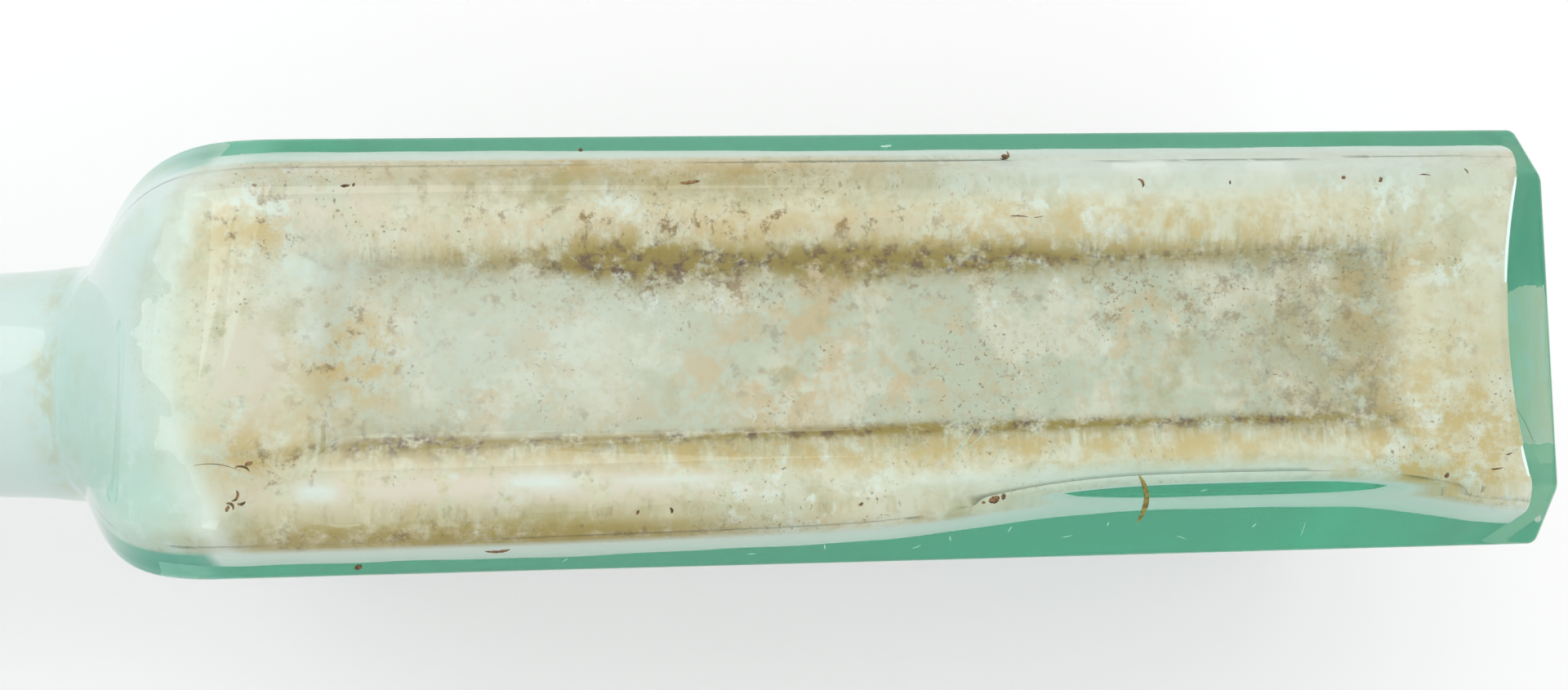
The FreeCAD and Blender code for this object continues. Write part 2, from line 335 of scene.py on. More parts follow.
@dataclass
class BottleForm:
    """The shape of the blown glass, outside and inside, in the bottle's own millimetres."""

    plan: RingPlan = field(default_factory=RingPlan)
    # Body
    half_width: float = 28.5
    half_depth: float = 16.5
    bevel_width: float = 3.8
    bevel_depth: float = 4.4
    corner_rounding: float = 0.5
    body_height: float = 97.0
    # Shoulder and neck
    shoulder_top: float = 119.4
    shoulder_swell: float = 1.86
    upper_drop: float = 2.1
    lower_lift: float = 2.1
    neck_foot_radius: float = 9.9
    neck_radius: float = 9.6
    neck_flare: float = 0.5
    neck_flare_length: float = 3.0
    neck_lean: float = -0.45
    neck_lean_length: float = 6.0
    glass_top: float = 171.0
    # Base
    heel: float = 0.8
    push_up_radius: float = 10.5
    push_up_rise: float = 1.5
    # Hollow
    wall: float = 2.2
    inner_corner: float = 2.2
    shoulder_wall: float = 1.5
    bore_radius: float = 8.2
    mouth_radius: float = 7.4
    mouth_taper: float = 18.0
    floor_edge: float = 0.7
    floor_rise: float = 2.0
    floor_fillet: float = 0.5
    # Sunken panels
    panel_foot: float = 10.0
    panel_head: float = 96.2
    panel_recess: float = 1.0
    wide_recess: float = 0.7
    panel_margin: float = 3.4
    panel_slope: float = 2.5
    panel_end_slope: float = 3.4
    panel_bow: float = 0.9
    panel_straightness: float = 0.45
    inner_relief: float = 0.6
    inner_spread: float = 1.7
    # Slug of extra glass in one wide wall
    thick_height: float = 23.5
    thick_above: float = 23.0
    thick_below: float = 20.0
    thick_tail: float = 40.0
    thick_tail_share: float = 0.35
    thick_lean: float = 0.15
    thick_extra: float = 3.3
    thick_corner: float = 2.4
    # Waves in the glass
    outer_ripple: Ripple = Ripple(seed=3, depth=0.07, longest=60.0, shortest=14.0)
    inner_ripple: Ripple = Ripple(seed=8, depth=0.2, longest=80.0, shortest=26.0)

    def __post_init__(self) -> None:
        """Trace the outline that every outer ring starts from."""
        self.outline = Outline(
            self.half_width, self.half_depth, self.bevel_width, self.bevel_depth, self.corner_rounding
        )
        self.outer_points, self.outer_angles = self.plan.trace(self.outline)

    @property
    def floor_rim(self) -> float:
        """Return the height at which the inner floor's fillet meets the walls."""
        return self.floor_edge + self.floor_rise + self.floor_fillet

    def panel_depth(self, ring: np.ndarray, height: float, slope: float) -> np.ndarray:
        """Work out how far the sunken panels reach in at a ring's points.

        Args:
            ring: Width and depth of the points.
            height: The ring's height.
            slope: How many times wider than the outside's the panels' slopes are.

        Returns:
            Shares of the full recess.
        """
        on_narrow = self.plan.sides == Side.NARROW.value
        on_wide = self.plan.sides == Side.WIDE.value
        across = np.where(on_narrow, np.abs(ring[:, 1]), np.abs(ring[:, 0]))
        flat = np.where(
            on_narrow, self.half_depth - self.bevel_depth, self.half_width - self.bevel_width
        )
        middle = flat - self.panel_margin - self.panel_slope / 2
        reach = self.panel_slope * slope / 2
        sideways = np.clip((middle + reach - across) / (2 * reach), 0.0, 1.0)
        sideways = np.where(on_narrow | on_wide, sideways, 0.0)
        end_reach = self.panel_end_slope * slope / 2
        foot = self.panel_foot + self.panel_end_slope / 2
        head = self.panel_head - self.panel_end_slope / 2 - self.panel_bow * (across / middle) ** 2
        lengthways = np.minimum(height - foot, head - height)
        lengthways = np.clip((lengthways + end_reach) / (2 * end_reach), 0.0, 1.0)
        ramp = np.minimum(sideways, lengthways)
        return self.panel_straightness * ramp + (1.0 - self.panel_straightness) * smooth(0.0, 1.0, ramp)

    def sink_panels(self, ring: np.ndarray, height: float, depths: tuple[float, float],
                    slope: float) -> np.ndarray:
        """Press the four sunken panels into a ring.

        Args:
            ring: Width and depth of the points.
            height: The ring's height.
            depths: How deep the panels' floors lie on the narrow and on the wide sides.
            slope: How many times wider than the outside's the slopes are.

        Returns:
            The ring with its panels.
        """
        share = self.panel_depth(ring, height, slope)
        sunk = ring.copy()
        on_narrow = self.plan.sides == Side.NARROW.value
        on_wide = self.plan.sides == Side.WIDE.value
        sunk[on_narrow, 0] -= np.sign(ring[on_narrow, 0]) * depths[0] * share[on_narrow]
        sunk[on_wide, 1] -= np.sign(ring[on_wide, 1]) * depths[1] * share[on_wide]
        return sunk

    def shoulder_share(self, ring: np.ndarray, height: float) -> np.ndarray:
        """Work out how much of the body's section is left on the shoulder, uneven from side to side.

        Args:
            ring: Width and depth of the body's points.
            height: The ring's height.

        Returns:
            Shares from 1 on the body to 0 on the neck.
        """
        side = ring[:, 1] / self.half_depth
        upper = smooth(-0.4, 1.0, side)
        lower = smooth(0.4, -1.0, side)
        start = self.body_height - self.upper_drop * upper + self.lower_lift * lower
        along = np.clip((height - start) / (self.shoulder_top - start), 0.0, 1.0)
        return (1.0 + np.cos(math.pi * along**self.shoulder_swell)) / 2.0

    def neck_offset(self, height: float) -> float:
        """Work out how far the neck's foot leans out of line.

        Args:
            height: The height above the base.

        Returns:
            The shift along the depth.
        """
        straight = self.glass_top - self.mouth_taper
        rise = smooth(self.body_height, self.shoulder_top, np.array(height))
        fall = smooth(straight, self.shoulder_top + self.neck_lean_length, np.array(height))
        return float(self.neck_lean * rise * fall)

    def neck_radius_at(self, height: float) -> float:
        """Work out the neck's outer radius, which flares into the shoulder.

        Args:
            height: The height above the base.

        Returns:
            The radius.
        """
        above = max(height - self.shoulder_top, 0.0)
        share = min(above / (self.glass_top - self.shoulder_top), 1.0)
        flare = self.neck_flare * math.exp(-above / self.neck_flare_length)
        return self.neck_foot_radius + (self.neck_radius - self.neck_foot_radius) * share + flare

    def bore_radius_at(self, height: float) -> float:
        """Return the bore's radius at a height."""
        along = (height - self.glass_top) / self.mouth_taper + 1.0
        return self.bore_radius + (self.mouth_radius - self.bore_radius) * max(along, 0.0)

    @staticmethod
    def round_ring(radius: float, angles: np.ndarray, offset: float) -> np.ndarray:
        """Return a round ring's points, shifted along the depth by an offset."""
        return np.stack([radius * np.cos(angles), radius * np.sin(angles) + offset], axis=-1)

    def at_height(self, ring: np.ndarray, height: float | np.ndarray) -> np.ndarray:
        """Return a ring's points with their height added."""
        return np.column_stack([ring, np.broadcast_to(height, len(ring))])

    def outside(self, height: float) -> np.ndarray:
        """Make the ring of the outer surface at a height.

        Args:
            height: The height above the base.

        Returns:
            The ring's points.
        """
        body = self.outer_points
        share = self.shoulder_share(body, height)[:, None]
        neck = self.round_ring(self.neck_radius_at(height), self.outer_angles, self.neck_offset(height))
        ring = neck * (1.0 - share) + body * share
        ring = self.sink_panels(ring, height, (self.panel_recess, self.wide_recess), 1.0)
        points = self.at_height(ring, height)
        dip = (self.outer_ripple.at(points) - self.outer_ripple.depth) * self.waviness(ring, share[:, 0])
        ring = ring * (1.0 + dip / np.linalg.norm(ring, axis=1))[:, None]
        return self.at_height(ring, height)

    def waviness(self, ring: np.ndarray, body: np.ndarray) -> np.ndarray:
        """Return how wavy the glass is at a ring's points: not on the body's wide walls."""
        return 1.0 - body * smooth(0.8, 0.3, np.abs(self.upward(ring)))

    def hollow_section(self, extra: float, corner: float) -> tuple[np.ndarray, np.ndarray]:
        """Trace the hollow's section, with round corners.

        Args:
            extra: How much thicker than usual the wide walls are.
            corner: The radius of the corners.

        Returns:
            The points, and the angles that stand for them on a round ring.
        """
        tangent = math.tan(math.pi / 8) * corner
        leg = 2.0 * tangent * math.sqrt(0.5)
        width, depth = self.half_width - self.wall, self.half_depth - self.wall - extra
        return self.plan.trace(Outline(width, depth, leg, leg, 0.99 * tangent))

    def thick_share(self, ring: np.ndarray, height: float) -> np.ndarray:
        """Work out where the slug of extra glass in one wide wall lies.

        Args:
            ring: Width and depth of the inner points.
            height: The ring's height.

        Returns:
            Shares from 0 to 1, greatest near the base on the lower wide wall.
        """
        above = height - self.thick_height
        lump = math.exp(-((above / (self.thick_above if above > 0.0 else self.thick_below)) ** 4))
        tail = math.exp(-((above / self.thick_tail) ** 2)) if above > 0.0 else lump
        bulk = (1.0 - self.thick_tail_share) * lump + self.thick_tail_share * tail
        upper = 1.0 - self.thick_lean * (1.0 - np.clip(ring[:, 0] / self.half_width, -1.0, 1.0))
        return bulk * upper * smooth(0.0, -0.35, ring[:, 1] / self.half_depth)

    def inside(self, height: float, gap: float | np.ndarray = 0.0) -> np.ndarray:
        """Make the ring of the inner surface at a height.

        Args:
            height: The height above the base.
            gap: How far inside the inner surface the ring lies, at every point or at each one.

        Returns:
            The ring's points.
        """
        body, angles = self.hollow_section(0.0, self.inner_corner)
        thick, _ = self.hollow_section(self.thick_extra, self.thick_corner)
        slug = self.thick_share(body, height)[:, None]
        body = body * (1.0 - slug) + thick * slug
        share = self.shoulder_share(body, height + self.shoulder_wall * 0.8)[:, None]
        bore = self.bore_radius_at(height)
        ring = self.round_ring(bore, angles, self.neck_offset(height)) * (1.0 - share) + body * share
        ring = self.sink_panels(ring, height, (self.inner_relief, 0.0), self.inner_spread)
        calm = smooth(self.glass_top - self.mouth_taper, self.shoulder_top, np.array(height))
        dip = self.inner_ripple.at(self.at_height(ring, height)) * float(calm)
        dip *= self.waviness(ring, share[:, 0])
        ring = ring * (1.0 - dip / np.linalg.norm(ring, axis=1))[:, None]
        return self.at_height(ring - self.facing(ring) * np.reshape(gap, (-1, 1)), height)

    @staticmethod
    def facing(ring: np.ndarray) -> np.ndarray:
        """Find the outward directions at a ring's points, across the bottle.

        Args:
            ring: Width and depth of the points.

        Returns:
            A direction of length 1 for each point.
        """
        along = np.roll(ring, -1, axis=0) - np.roll(ring, 1, axis=0)
        out = np.stack([along[:, 1], -along[:, 0]], axis=-1)
        return out / np.linalg.norm(out, axis=1, keepdims=True)

    def upward(self, ring: np.ndarray) -> np.ndarray:
        """Return how far a ring's points face up, from -1 to 1, as the bottle lies."""
        return self.facing(ring[:, :2])[:, 0]

    def underside(self) -> list[np.ndarray]:
        """Make the rings of the pushed-up base and the heel.

        Returns:
            The rings, from the middle out.
        """
        rings = []
        flat, _ = self.plan.trace(self.outline.inset(self.heel))
        for share in np.linspace(0.0, 1.0, 22)[1:]:
            ring = flat * share
            rise = smooth(1.2 * self.push_up_radius, 0.0, np.hypot(ring[:, 0], ring[:, 1]))
            rings.append(self.at_height(ring, self.push_up_rise * rise))
        for angle in np.linspace(0.0, math.pi / 2, 6)[1:-1]:
            ring, _ = self.plan.trace(self.outline.inset(self.heel * (1.0 - math.sin(angle))))
            rings.append(self.at_height(ring, self.heel * (1.0 - math.cos(angle))))
        return rings

    def floor_height(self, ring: np.ndarray, gap: float) -> np.ndarray:
        """Return the arched inner floor's height at a ring's points."""
        across = np.clip(ring[:, 1] / (self.half_depth - self.wall), -1.0, 1.0)
        return self.floor_edge + gap + self.floor_rise * (1.0 - across**2)

    def inner_floor(self, gap: float = 0.0) -> list[np.ndarray]:
        """Make the rings of the inner floor, from its rim in.

        Args:
            gap: How far above the inner surface the rings lie.

        Returns:
            The rings.
        """
        rim = self.inside(self.floor_rim, gap)[:, :2]
        rings = []
        for angle in np.linspace(0.0, math.pi / 2, 7):
            ring = rim * (1.0 - self.floor_fillet * (1.0 - math.cos(angle)) / self.half_depth)
            lift = self.floor_fillet * (1.0 - math.sin(angle))
            rings.append(self.at_height(ring, self.floor_height(ring, gap) + lift))
        foot = rings[-1][:, :2]
        for share in np.linspace(1.0, 0.0, 22)[1:-1]:
            ring = foot * share
            rings.append(self.at_height(ring, self.floor_height(ring, gap)))
        return rings

    def body_heights(self, foot: float) -> np.ndarray:
        """List the heights of the body's rings, crowded where the panels end.

        Args:
            foot: The height of the lowest ring.

        Returns:
            The heights, from the foot up.
        """
        stops = (foot, self.panel_foot - 0.6, self.panel_foot + 4.0, self.panel_head - 4.8,
                 self.panel_head + 0.6)
        return graded(stops, (5, 9, 58, 10))


def new_piece(name: str, points: Sequence[Sequence[float]],
              faces: Sequence[Sequence[int]]) -> bpy.types.Object:
    """Make an object of points and faces, with smooth shading.

    Args:
        name: The piece's name.
        points: The points, in the world's metres.
        faces: The points' indices, face by face.

    Returns:
        The new object, in the scene.
    """
    mesh = bpy.data.meshes.new(name)
    mesh.from_pydata(points, [], faces)
    mesh.polygons.foreach_set("use_smooth", np.ones(len(mesh.polygons), dtype=bool))
    piece = bpy.data.objects.new(name, mesh)
    bpy.context.scene.collection.objects.link(piece)
    return piece


def strips(here: np.ndarray) -> list[list[int]]:
    """Return the four-sided faces between rows of point indices that run round."""
    there = np.roll(here, -1, axis=1)
    return np.stack([here[:-1], there[:-1], there[1:], here[1:]], axis=-1).reshape(-1, 4).tolist()


def paint(piece: bpy.types.Object, name: str, values: np.ndarray) -> None:
    """Give a piece a layer of weights.

    Args:
        piece: The piece.
        name: The layer's name.
        values: A weight for each of the piece's points.
    """
    layer = piece.data.attributes.new(name, "FLOAT", "POINT")
    layer.data.foreach_set("value", values.astype(np.float32))


def cover(name: str, rings: Sequence[np.ndarray], ends: tuple[bool, bool], seat: Seat) -> bpy.types.Object:
    """Join rings of points into a mesh.

    Args:
        name: The piece's name.
        rings: The rings, each with the same number of points.
        ends: Whether the first and the last ring are closed to a point in their middle.
        seat: The bottle's own coordinates.

    Returns:
        The new object.
    """
    grid = np.stack(rings)
    count, size = grid.shape[:2]
    points = grid.reshape(-1, 3)
    here = np.arange(count * size).reshape(count, size)
    faces = strips(here)
    for closed, row, order in zip(ends, (0, -1), (1, -1)):
        if closed:
            pairs = zip(here[row].tolist(), np.roll(here[row], -1).tolist())
            faces += [[len(points), *pair[::order]][::-1] for pair in pairs]
            points = np.vstack([points, grid[row].mean(axis=0)])
    piece = new_piece(name, seat.world(points).tolist(), faces)
    sides = bmesh.new()
    sides.from_mesh(piece.data)
    bmesh.ops.recalc_face_normals(sides, faces=sides.faces)
    sides.to_mesh(piece.data)
    sides.free()
    return piece


class Bench:
    """The node tree of one material, laid out node by node."""

    def __init__(self, name: str) -> None:
        """Start an empty material.

        Args:
            name: The material's name.
        """
        self.material = bpy.data.materials.new(name)
        self.material.use_nodes = True
        self.tree = self.material.node_tree
        self.tree.nodes.clear()

    def add(self, kind: str, plugs: dict[str | int, Plug], **settings: object) -> bpy.types.Node:
        """Add a node.

        Args:
            kind: The node's type.
            plugs: Values or sockets for its inputs.
            settings: Values for its settings.

        Returns:
            The node.
        """
        node = self.tree.nodes.new(kind)
        for key, value in settings.items():
            setattr(node, key, value)
        for key, value in plugs.items():
            if isinstance(value, bpy.types.NodeSocket):
                self.tree.links.new(value, node.inputs[key])
            else:
                node.inputs[key].default_value = value
        return node

    def place(self, stretch: tuple[float, float, float] = (1.0, 1.0, 1.0),
              shift: float = 0.0) -> bpy.types.NodeSocket:
        """Add the object's own coordinates.

        Args:
            stretch: What they are multiplied by along X, Y and Z.
            shift: How far they are shifted, for another draw of noise.

        Returns:
            The coordinates.
        """
        where = self.add("ShaderNodeTexCoord", {}).outputs["Object"]
        plugs = {"Vector": where, "Scale": stretch, "Location": (shift, shift, shift)}
        return self.add("ShaderNodeMapping", plugs).outputs["Vector"]

    def noise(self, place: bpy.types.NodeSocket, size: float, detail: float = 3.0,
              roughness: float = 0.55, warp: float = 0.0) -> bpy.types.NodeSocket:
        """Add cloudy noise.

        Args:
            place: The coordinates.
            size: The size of the clouds, in millimetres.
            detail: How many finer layers it has.
            roughness: How strong the finer layers are.
            warp: How much it is twisted.

        Returns:
            The noise, about 0.5 on the whole.
        """
        plugs = {"Vector": place, "Scale": 1.0 / (size * MM), "Detail": detail,
                 "Roughness": roughness, "Distortion": warp}
        return self.add("ShaderNodeTexNoise", plugs).outputs["Fac"]

    def span(self, value: bpy.types.NodeSocket, low: float, high: float, floor: float = 0.0,
             top: float = 1.0) -> bpy.types.NodeSocket:
        """Ease a value between two limits.

        Args:
            value: The value.
            low: The value that gives the floor.
            high: The value that gives the top.
            floor: The lowest result.
            top: The highest result.

        Returns:
            The eased value.
        """
        plugs = {"Value": value, "From Min": low, "From Max": high, "To Min": floor, "To Max": top}
        return self.add("ShaderNodeMapRange", plugs, interpolation_type="SMOOTHSTEP").outputs["Result"]

    def sum(self, operation: str, first: Plug, second: Plug) -> bpy.types.NodeSocket:
        """Return the clamped result of an operation on two values."""
        plugs = {0: first, 1: second}
        return self.add("ShaderNodeMath", plugs, operation=operation, use_clamp=True).outputs[0]

    def mix(self, share: Plug, under: Plug, over: Plug) -> bpy.types.NodeSocket:
        """Return two colours mixed by a share of the second."""
        return self.add("ShaderNodeMix", {0: share, 6: under, 7: over}, data_type="RGBA").outputs[2]

    def layer(self, name: str) -> bpy.types.NodeSocket:
        """Return a layer of weights that the mesh carries."""
        return self.add("ShaderNodeAttribute", {}, attribute_name=name).outputs["Fac"]

    def bump(self, height: bpy.types.NodeSocket, strength: float, reach: float) -> bpy.types.NodeSocket:
        """Return normals bumped by a height, with a reach in millimetres."""
        plugs = {"Height": height, "Strength": strength, "Distance": reach * MM}
        return self.add("ShaderNodeBump", plugs).outputs["Normal"]

    def finish(self, surface: dict[str | int, Plug],
               volume: dict[str | int, Plug] | None = None) -> bpy.types.Material:
        """Close the tree with a principled surface.

        Args:
            surface: Values or sockets for the surface.
            volume: Values for what the inside absorbs, if it does.

        Returns:
            The material.
        """
        skin = self.add("ShaderNodeBsdfPrincipled", surface)
        out = self.add("ShaderNodeOutputMaterial", {"Surface": skin.outputs[0]})
        if volume:
            inside = self.add("ShaderNodeVolumeAbsorption", volume)
            self.tree.links.new(inside.outputs[0], out.inputs["Volume"])
        return self.material


def rgb(red: float, green: float, blue: float) -> Colour:
    """Return a solid linear colour."""
    return (red, green, blue, 1.0)


@dataclass(frozen=True)
class AquaGlass:
    """Clear old glass that is pale aqua through a wall and deep teal along one."""

    tint: Colour = rgb(0.0, 0.812, 0.625)
    density: float = 45.0
    etched: float = 0.25
    ior: float = 1.5

    def make(self) -> bpy.types.Material:
        """Make the finish.

        Returns:
            The material.
        """
        bench = Bench("aqua_glass")
        surface = {
            "Base Color": rgb(1.0, 1.0, 1.0),
            "Roughness": bench.sum("MULTIPLY", bench.layer("etching"), self.etched),
            "IOR": self.ior,
            "Transmission Weight": 1.0,
        }
        return bench.finish(surface, {"Color": self.tint, "Density": self.density})


@dataclass(frozen=True)
class Blotch:
    """Clouds of one colour in the residue.

    Attributes:
        colour: The colour.
        size: The clouds' size, in millimetres.
        low: The noise at which they begin.
        high: The noise at which they are full.
        share: How much they cover where they are full.
        shift: Which draw of the noise they follow.
        stretch: How the noise is stretched along X, Y and Z.
        region: The size of the regions they gather in, in millimetres, or 0 to lie everywhere.
    """

    colour: Colour
    size: float
    low: float
    high: float
    share: float
    shift: float
    stretch: tuple[float, float, float] = (1.0, 1.0, 1.0)
    region: float = 0.0

    def cover(self, bench: Bench) -> bpy.types.NodeSocket:
        """Lay out how much of the surface the clouds cover.

        Args:
            bench: The material to add the nodes to.

        Returns:
            The cover, from 0 to the full share.
        """
        clouds = bench.noise(bench.place(self.stretch, self.shift), self.size, 5.0, 0.62)
        cover = bench.span(clouds, self.low, self.high, 0.0, self.share)
        if not self.region:
            return cover
        regions = bench.noise(bench.place(shift=self.shift + 0.37), self.region, 3.0, 0.5)
        return bench.sum("MULTIPLY", cover, bench.span(regions, 0.44, 0.58))


@dataclass(frozen=True)
class Tone:
    """The colour of one deposit, broken up by noise.

    Attributes:
        deposit: The layer of weights that it follows.
        colour: The colour.
        low: The noise at which it begins.
        high: The noise at which it is full.
    """

    deposit: Deposit
    colour: Colour
    low: float
    high: float


@dataclass(frozen=True)
class DriedResidue:
    """A thin chalky deposit, grey-green to cream, with brown grime where it gathered; its colour also holds
    painted shade, highlights and glints.
    """

    pale: Colour = rgb(0.94, 0.78, 0.57)
    panel: Colour = rgb(0.68, 0.66, 0.51)
    # Near white of the deposit's rim and the upper walls' band, also used for the painted glints
    rim: Colour = rgb(0.995, 0.97, 0.92)
    mottle_size: float = 2.2
    grain_size: float = 1.4
    blotches: tuple[Blotch, ...] = (
        Blotch(rgb(0.80, 0.77, 0.62), 13.0, 0.44, 0.60, 0.55, 0.0),
        Blotch(rgb(0.99, 0.86, 0.70), 6.0, 0.47, 0.60, 0.7, 1.3),
        Blotch(rgb(0.82, 0.55, 0.28), 4.0, 0.51, 0.63, 0.75, 3.7, region=15.0),
        Blotch(rgb(0.56, 0.45, 0.20), 5.0, 0.52, 0.66, 0.7, 4.4, region=18.0),
        Blotch(rgb(0.995, 0.95, 0.88), 2.4, 0.53, 0.59, 0.8, 2.1, region=16.0),
        Blotch(rgb(0.48, 0.35, 0.20), 1.2, 0.55, 0.68, 0.6, 5.2, region=9.0),
        Blotch(rgb(0.74, 0.53, 0.28), 0.8, 0.48, 0.64, 0.4, 8.3),
        Blotch(rgb(0.32, 0.16, 0.03), 0.32, 0.59, 0.68, 0.9, 7.9, region=8.0),
    )
    streaks: tuple[Blotch, ...] = (
        Blotch(rgb(0.99, 0.92, 0.74), 1.0, 0.48, 0.60, 0.7, 5.9, (1.0, 0.12, 0.12)),
        Blotch(rgb(0.58, 0.43, 0.14), 0.7, 0.47, 0.62, 0.7, 6.6, (1.0, 0.12, 0.12)),
    )
    bloom: Colour = rgb(0.995, 0.965, 0.97)
    stain: Blotch = Blotch(rgb(0.95, 0.90, 0.80), 4.0, 0.50, 0.70, 0.6, 3.1, (0.4, 1.0, 1.0))
    layers: tuple[Tone, ...] = (
        # Painted shade: darker mint towards the shoulder's lower side
        Tone(Deposit.MINT_SHADE, rgb(0.64, 0.79, 0.70), 0.15, 0.50),
        Tone(Deposit.MILK, rgb(0.95, 0.95, 0.88), 0.10, 0.45),
        Tone(Deposit.CREAM, rgb(0.99, 0.86, 0.66), 0.36, 0.56),
        # Pink stains, and the painted pink highlight and sheen of two patches
        Tone(Deposit.PINK, rgb(1.0, 0.79, 0.67), 0.42, 0.54),
        Tone(Deposit.TAN, rgb(0.82, 0.55, 0.22), 0.40, 0.62),
        Tone(Deposit.BROWN, rgb(0.50, 0.33, 0.05), 0.20, 0.54),
        Tone(Deposit.GRIME, rgb(0.42, 0.26, 0.0), 0.36, 0.54),
        # Painted shade: darker teal on the walls below the shoulder
        Tone(Deposit.SHADE, rgb(0.17, 0.52, 0.40), -0.2, 0.2),
    )
    grit: tuple[Tone, ...] = (
        Tone(Deposit.SPECK, rgb(0.36, 0.16, 0.0), 0.53, 0.63),
        Tone(Deposit.BROWN, rgb(0.28, 0.16, 0.04), 0.52, 0.70),
        Tone(Deposit.GRIME, rgb(0.16, 0.06, 0.0), 0.47, 0.62),
    )

    def make(self) -> bpy.types.Material:
        """Make the finish.

        Returns:
            The material.
        """
        bench = Bench("dried_residue")
        shade = bench.mix(bench.layer(Deposit.PANEL.value), self.pale, self.panel)
        for blotch in self.blotches:
            shade = bench.mix(blotch.cover(bench), shade, blotch.colour)
        for streak in self.streaks:
            lines = bench.sum("MULTIPLY", bench.layer(Deposit.SLOPE.value), streak.cover(bench))
            shade = bench.mix(lines, shade, streak.colour)
        milky = bench.mix(self.stain.cover(bench), self.bloom, self.stain.colour)
        shade = bench.mix(bench.layer(Deposit.BLOOM.value), shade, milky)
        mottle = bench.noise(bench.place(shift=9.1), self.mottle_size, 6.0, 0.68)
        grain = bench.noise(bench.place(shift=4.7), self.grain_size, 8.0, 0.75)
        for noise, tones in ((mottle, self.layers), (grain, self.grit)):
            for tone in tones:
                weight = bench.layer(tone.deposit.value)
                share = bench.sum("MULTIPLY", weight, bench.span(noise, tone.low, tone.high))
                shade = bench.mix(share, shade, tone.colour)
        # Near-white rim and wall band, with the painted glints
        shade = bench.mix(bench.layer(Deposit.RIM_AND_GLINT.value), shade, self.rim)
        surface = {
            "Base Color": shade,
            "Roughness": bench.span(mottle, 0.3, 0.7, 0.75, 0.95),
            "Specular IOR Level": 0.2,
            "Normal": bench.bump(mottle, 0.4, 0.2),
        }
        return bench.finish(surface)


@dataclass(frozen=True)
class AgedCork:
    """Dry brown cork with dark pores."""

    pale: Colour = rgb(0.50, 0.31, 0.16)
    dark: Colour = rgb(0.24, 0.13, 0.06)
    pore: Colour = rgb(0.06, 0.03, 0.015)
    broad_size: float = 4.0
    grain_size: float = 0.8
    pore_size: float = 1.3

    def make(self) -> bpy.types.Material:
        """Make the finish.

        Returns:
            The material.
        """
        bench = Bench("aged_cork")
        place = bench.place()
        broad = bench.noise(place, self.broad_size, 5.0, 0.6)
        grain = bench.noise(place, self.grain_size, 4.0, 0.6)
        pores = bench.noise(bench.place((0.5, 1.0, 1.0)), self.pore_size, 3.0, 0.7, 1.2)
        tone = bench.mix(bench.span(broad, 0.35, 0.65), self.dark, self.pale)
        tone = bench.mix(bench.span(grain, 0.45, 0.7, 0.0, 0.5), tone, self.dark)
        tone = bench.mix(bench.span(pores, 0.62, 0.70), tone, self.pore)
        surface = {
            "Base Color": tone,
            "Roughness": bench.span(grain, 0.3, 0.7, 0.75, 0.95),
            "Normal": bench.bump(pores, 0.6, -0.4),
        }
        return bench.finish(surface)


@dataclass(frozen=True)
class DryDirt:
    """Brown soil and plant crumbs."""

    name: str = "dry_dirt"
    light: Colour = rgb(0.30, 0.17, 0.07)
    dark: Colour = rgb(0.06, 0.035, 0.015)
    clump: float = 0.5

    def make(self) -> bpy.types.Material:
        """Make the finish.

        Returns:
            The material.
        """
        bench = Bench(self.name)
        lumps = bench.noise(bench.place(), self.clump, 4.0, 0.6)
        tone = bench.mix(bench.span(lumps, 0.35, 0.65), self.dark, self.light)
        rough = bench.span(lumps, 0.3, 0.7, 0.7, 0.95)
        return bench.finish({"Base Color": tone, "Roughness": rough, "Normal": bench.bump(lumps, 0.6, 0.1)})


SCUFFS = DryDirt("pale_scuffs", rgb(0.55, 0.78, 0.69), rgb(0.36, 0.62, 0.52), 0.3)
DRY_STALK = DryDirt("dry_stalk", rgb(0.34, 0.30, 0.07), rgb(0.13, 0.10, 0.02), 0.4)


@dataclass(frozen=True)
class Patch:
    """A patch of one deposit on the lining's upper side; some patches are painted shade or painted
    highlights.

    Attributes:
        deposit: The kind of deposit.
        along: World X of its middle, in millimetres.
        across: World Y of its middle, in millimetres.
        half_length: Half of its length along X.
        half_width: Half of its width along Y.
        strength: Its weight in the middle.
        slant: How far its middle moves along Y in each millimetre of X.
    """

    deposit: Deposit
    along: float
    across: float
    half_length: float
    half_width: float
    strength: float
    slant: float = 0.0

    def weigh(self, along: np.ndarray, across: np.ndarray) -> np.ndarray:
        """Weigh the patch at points of the upper side.

        Args:
            along: World X of the points, in millimetres.
            across: World Y of the points, in millimetres.

        Returns:
            A weight for each point.
        """
        u = (along - self.along) / self.half_length
        v = (across - self.across - self.slant * (along - self.along)) / self.half_width
        return self.strength * np.exp(-(u**4) - v**2)


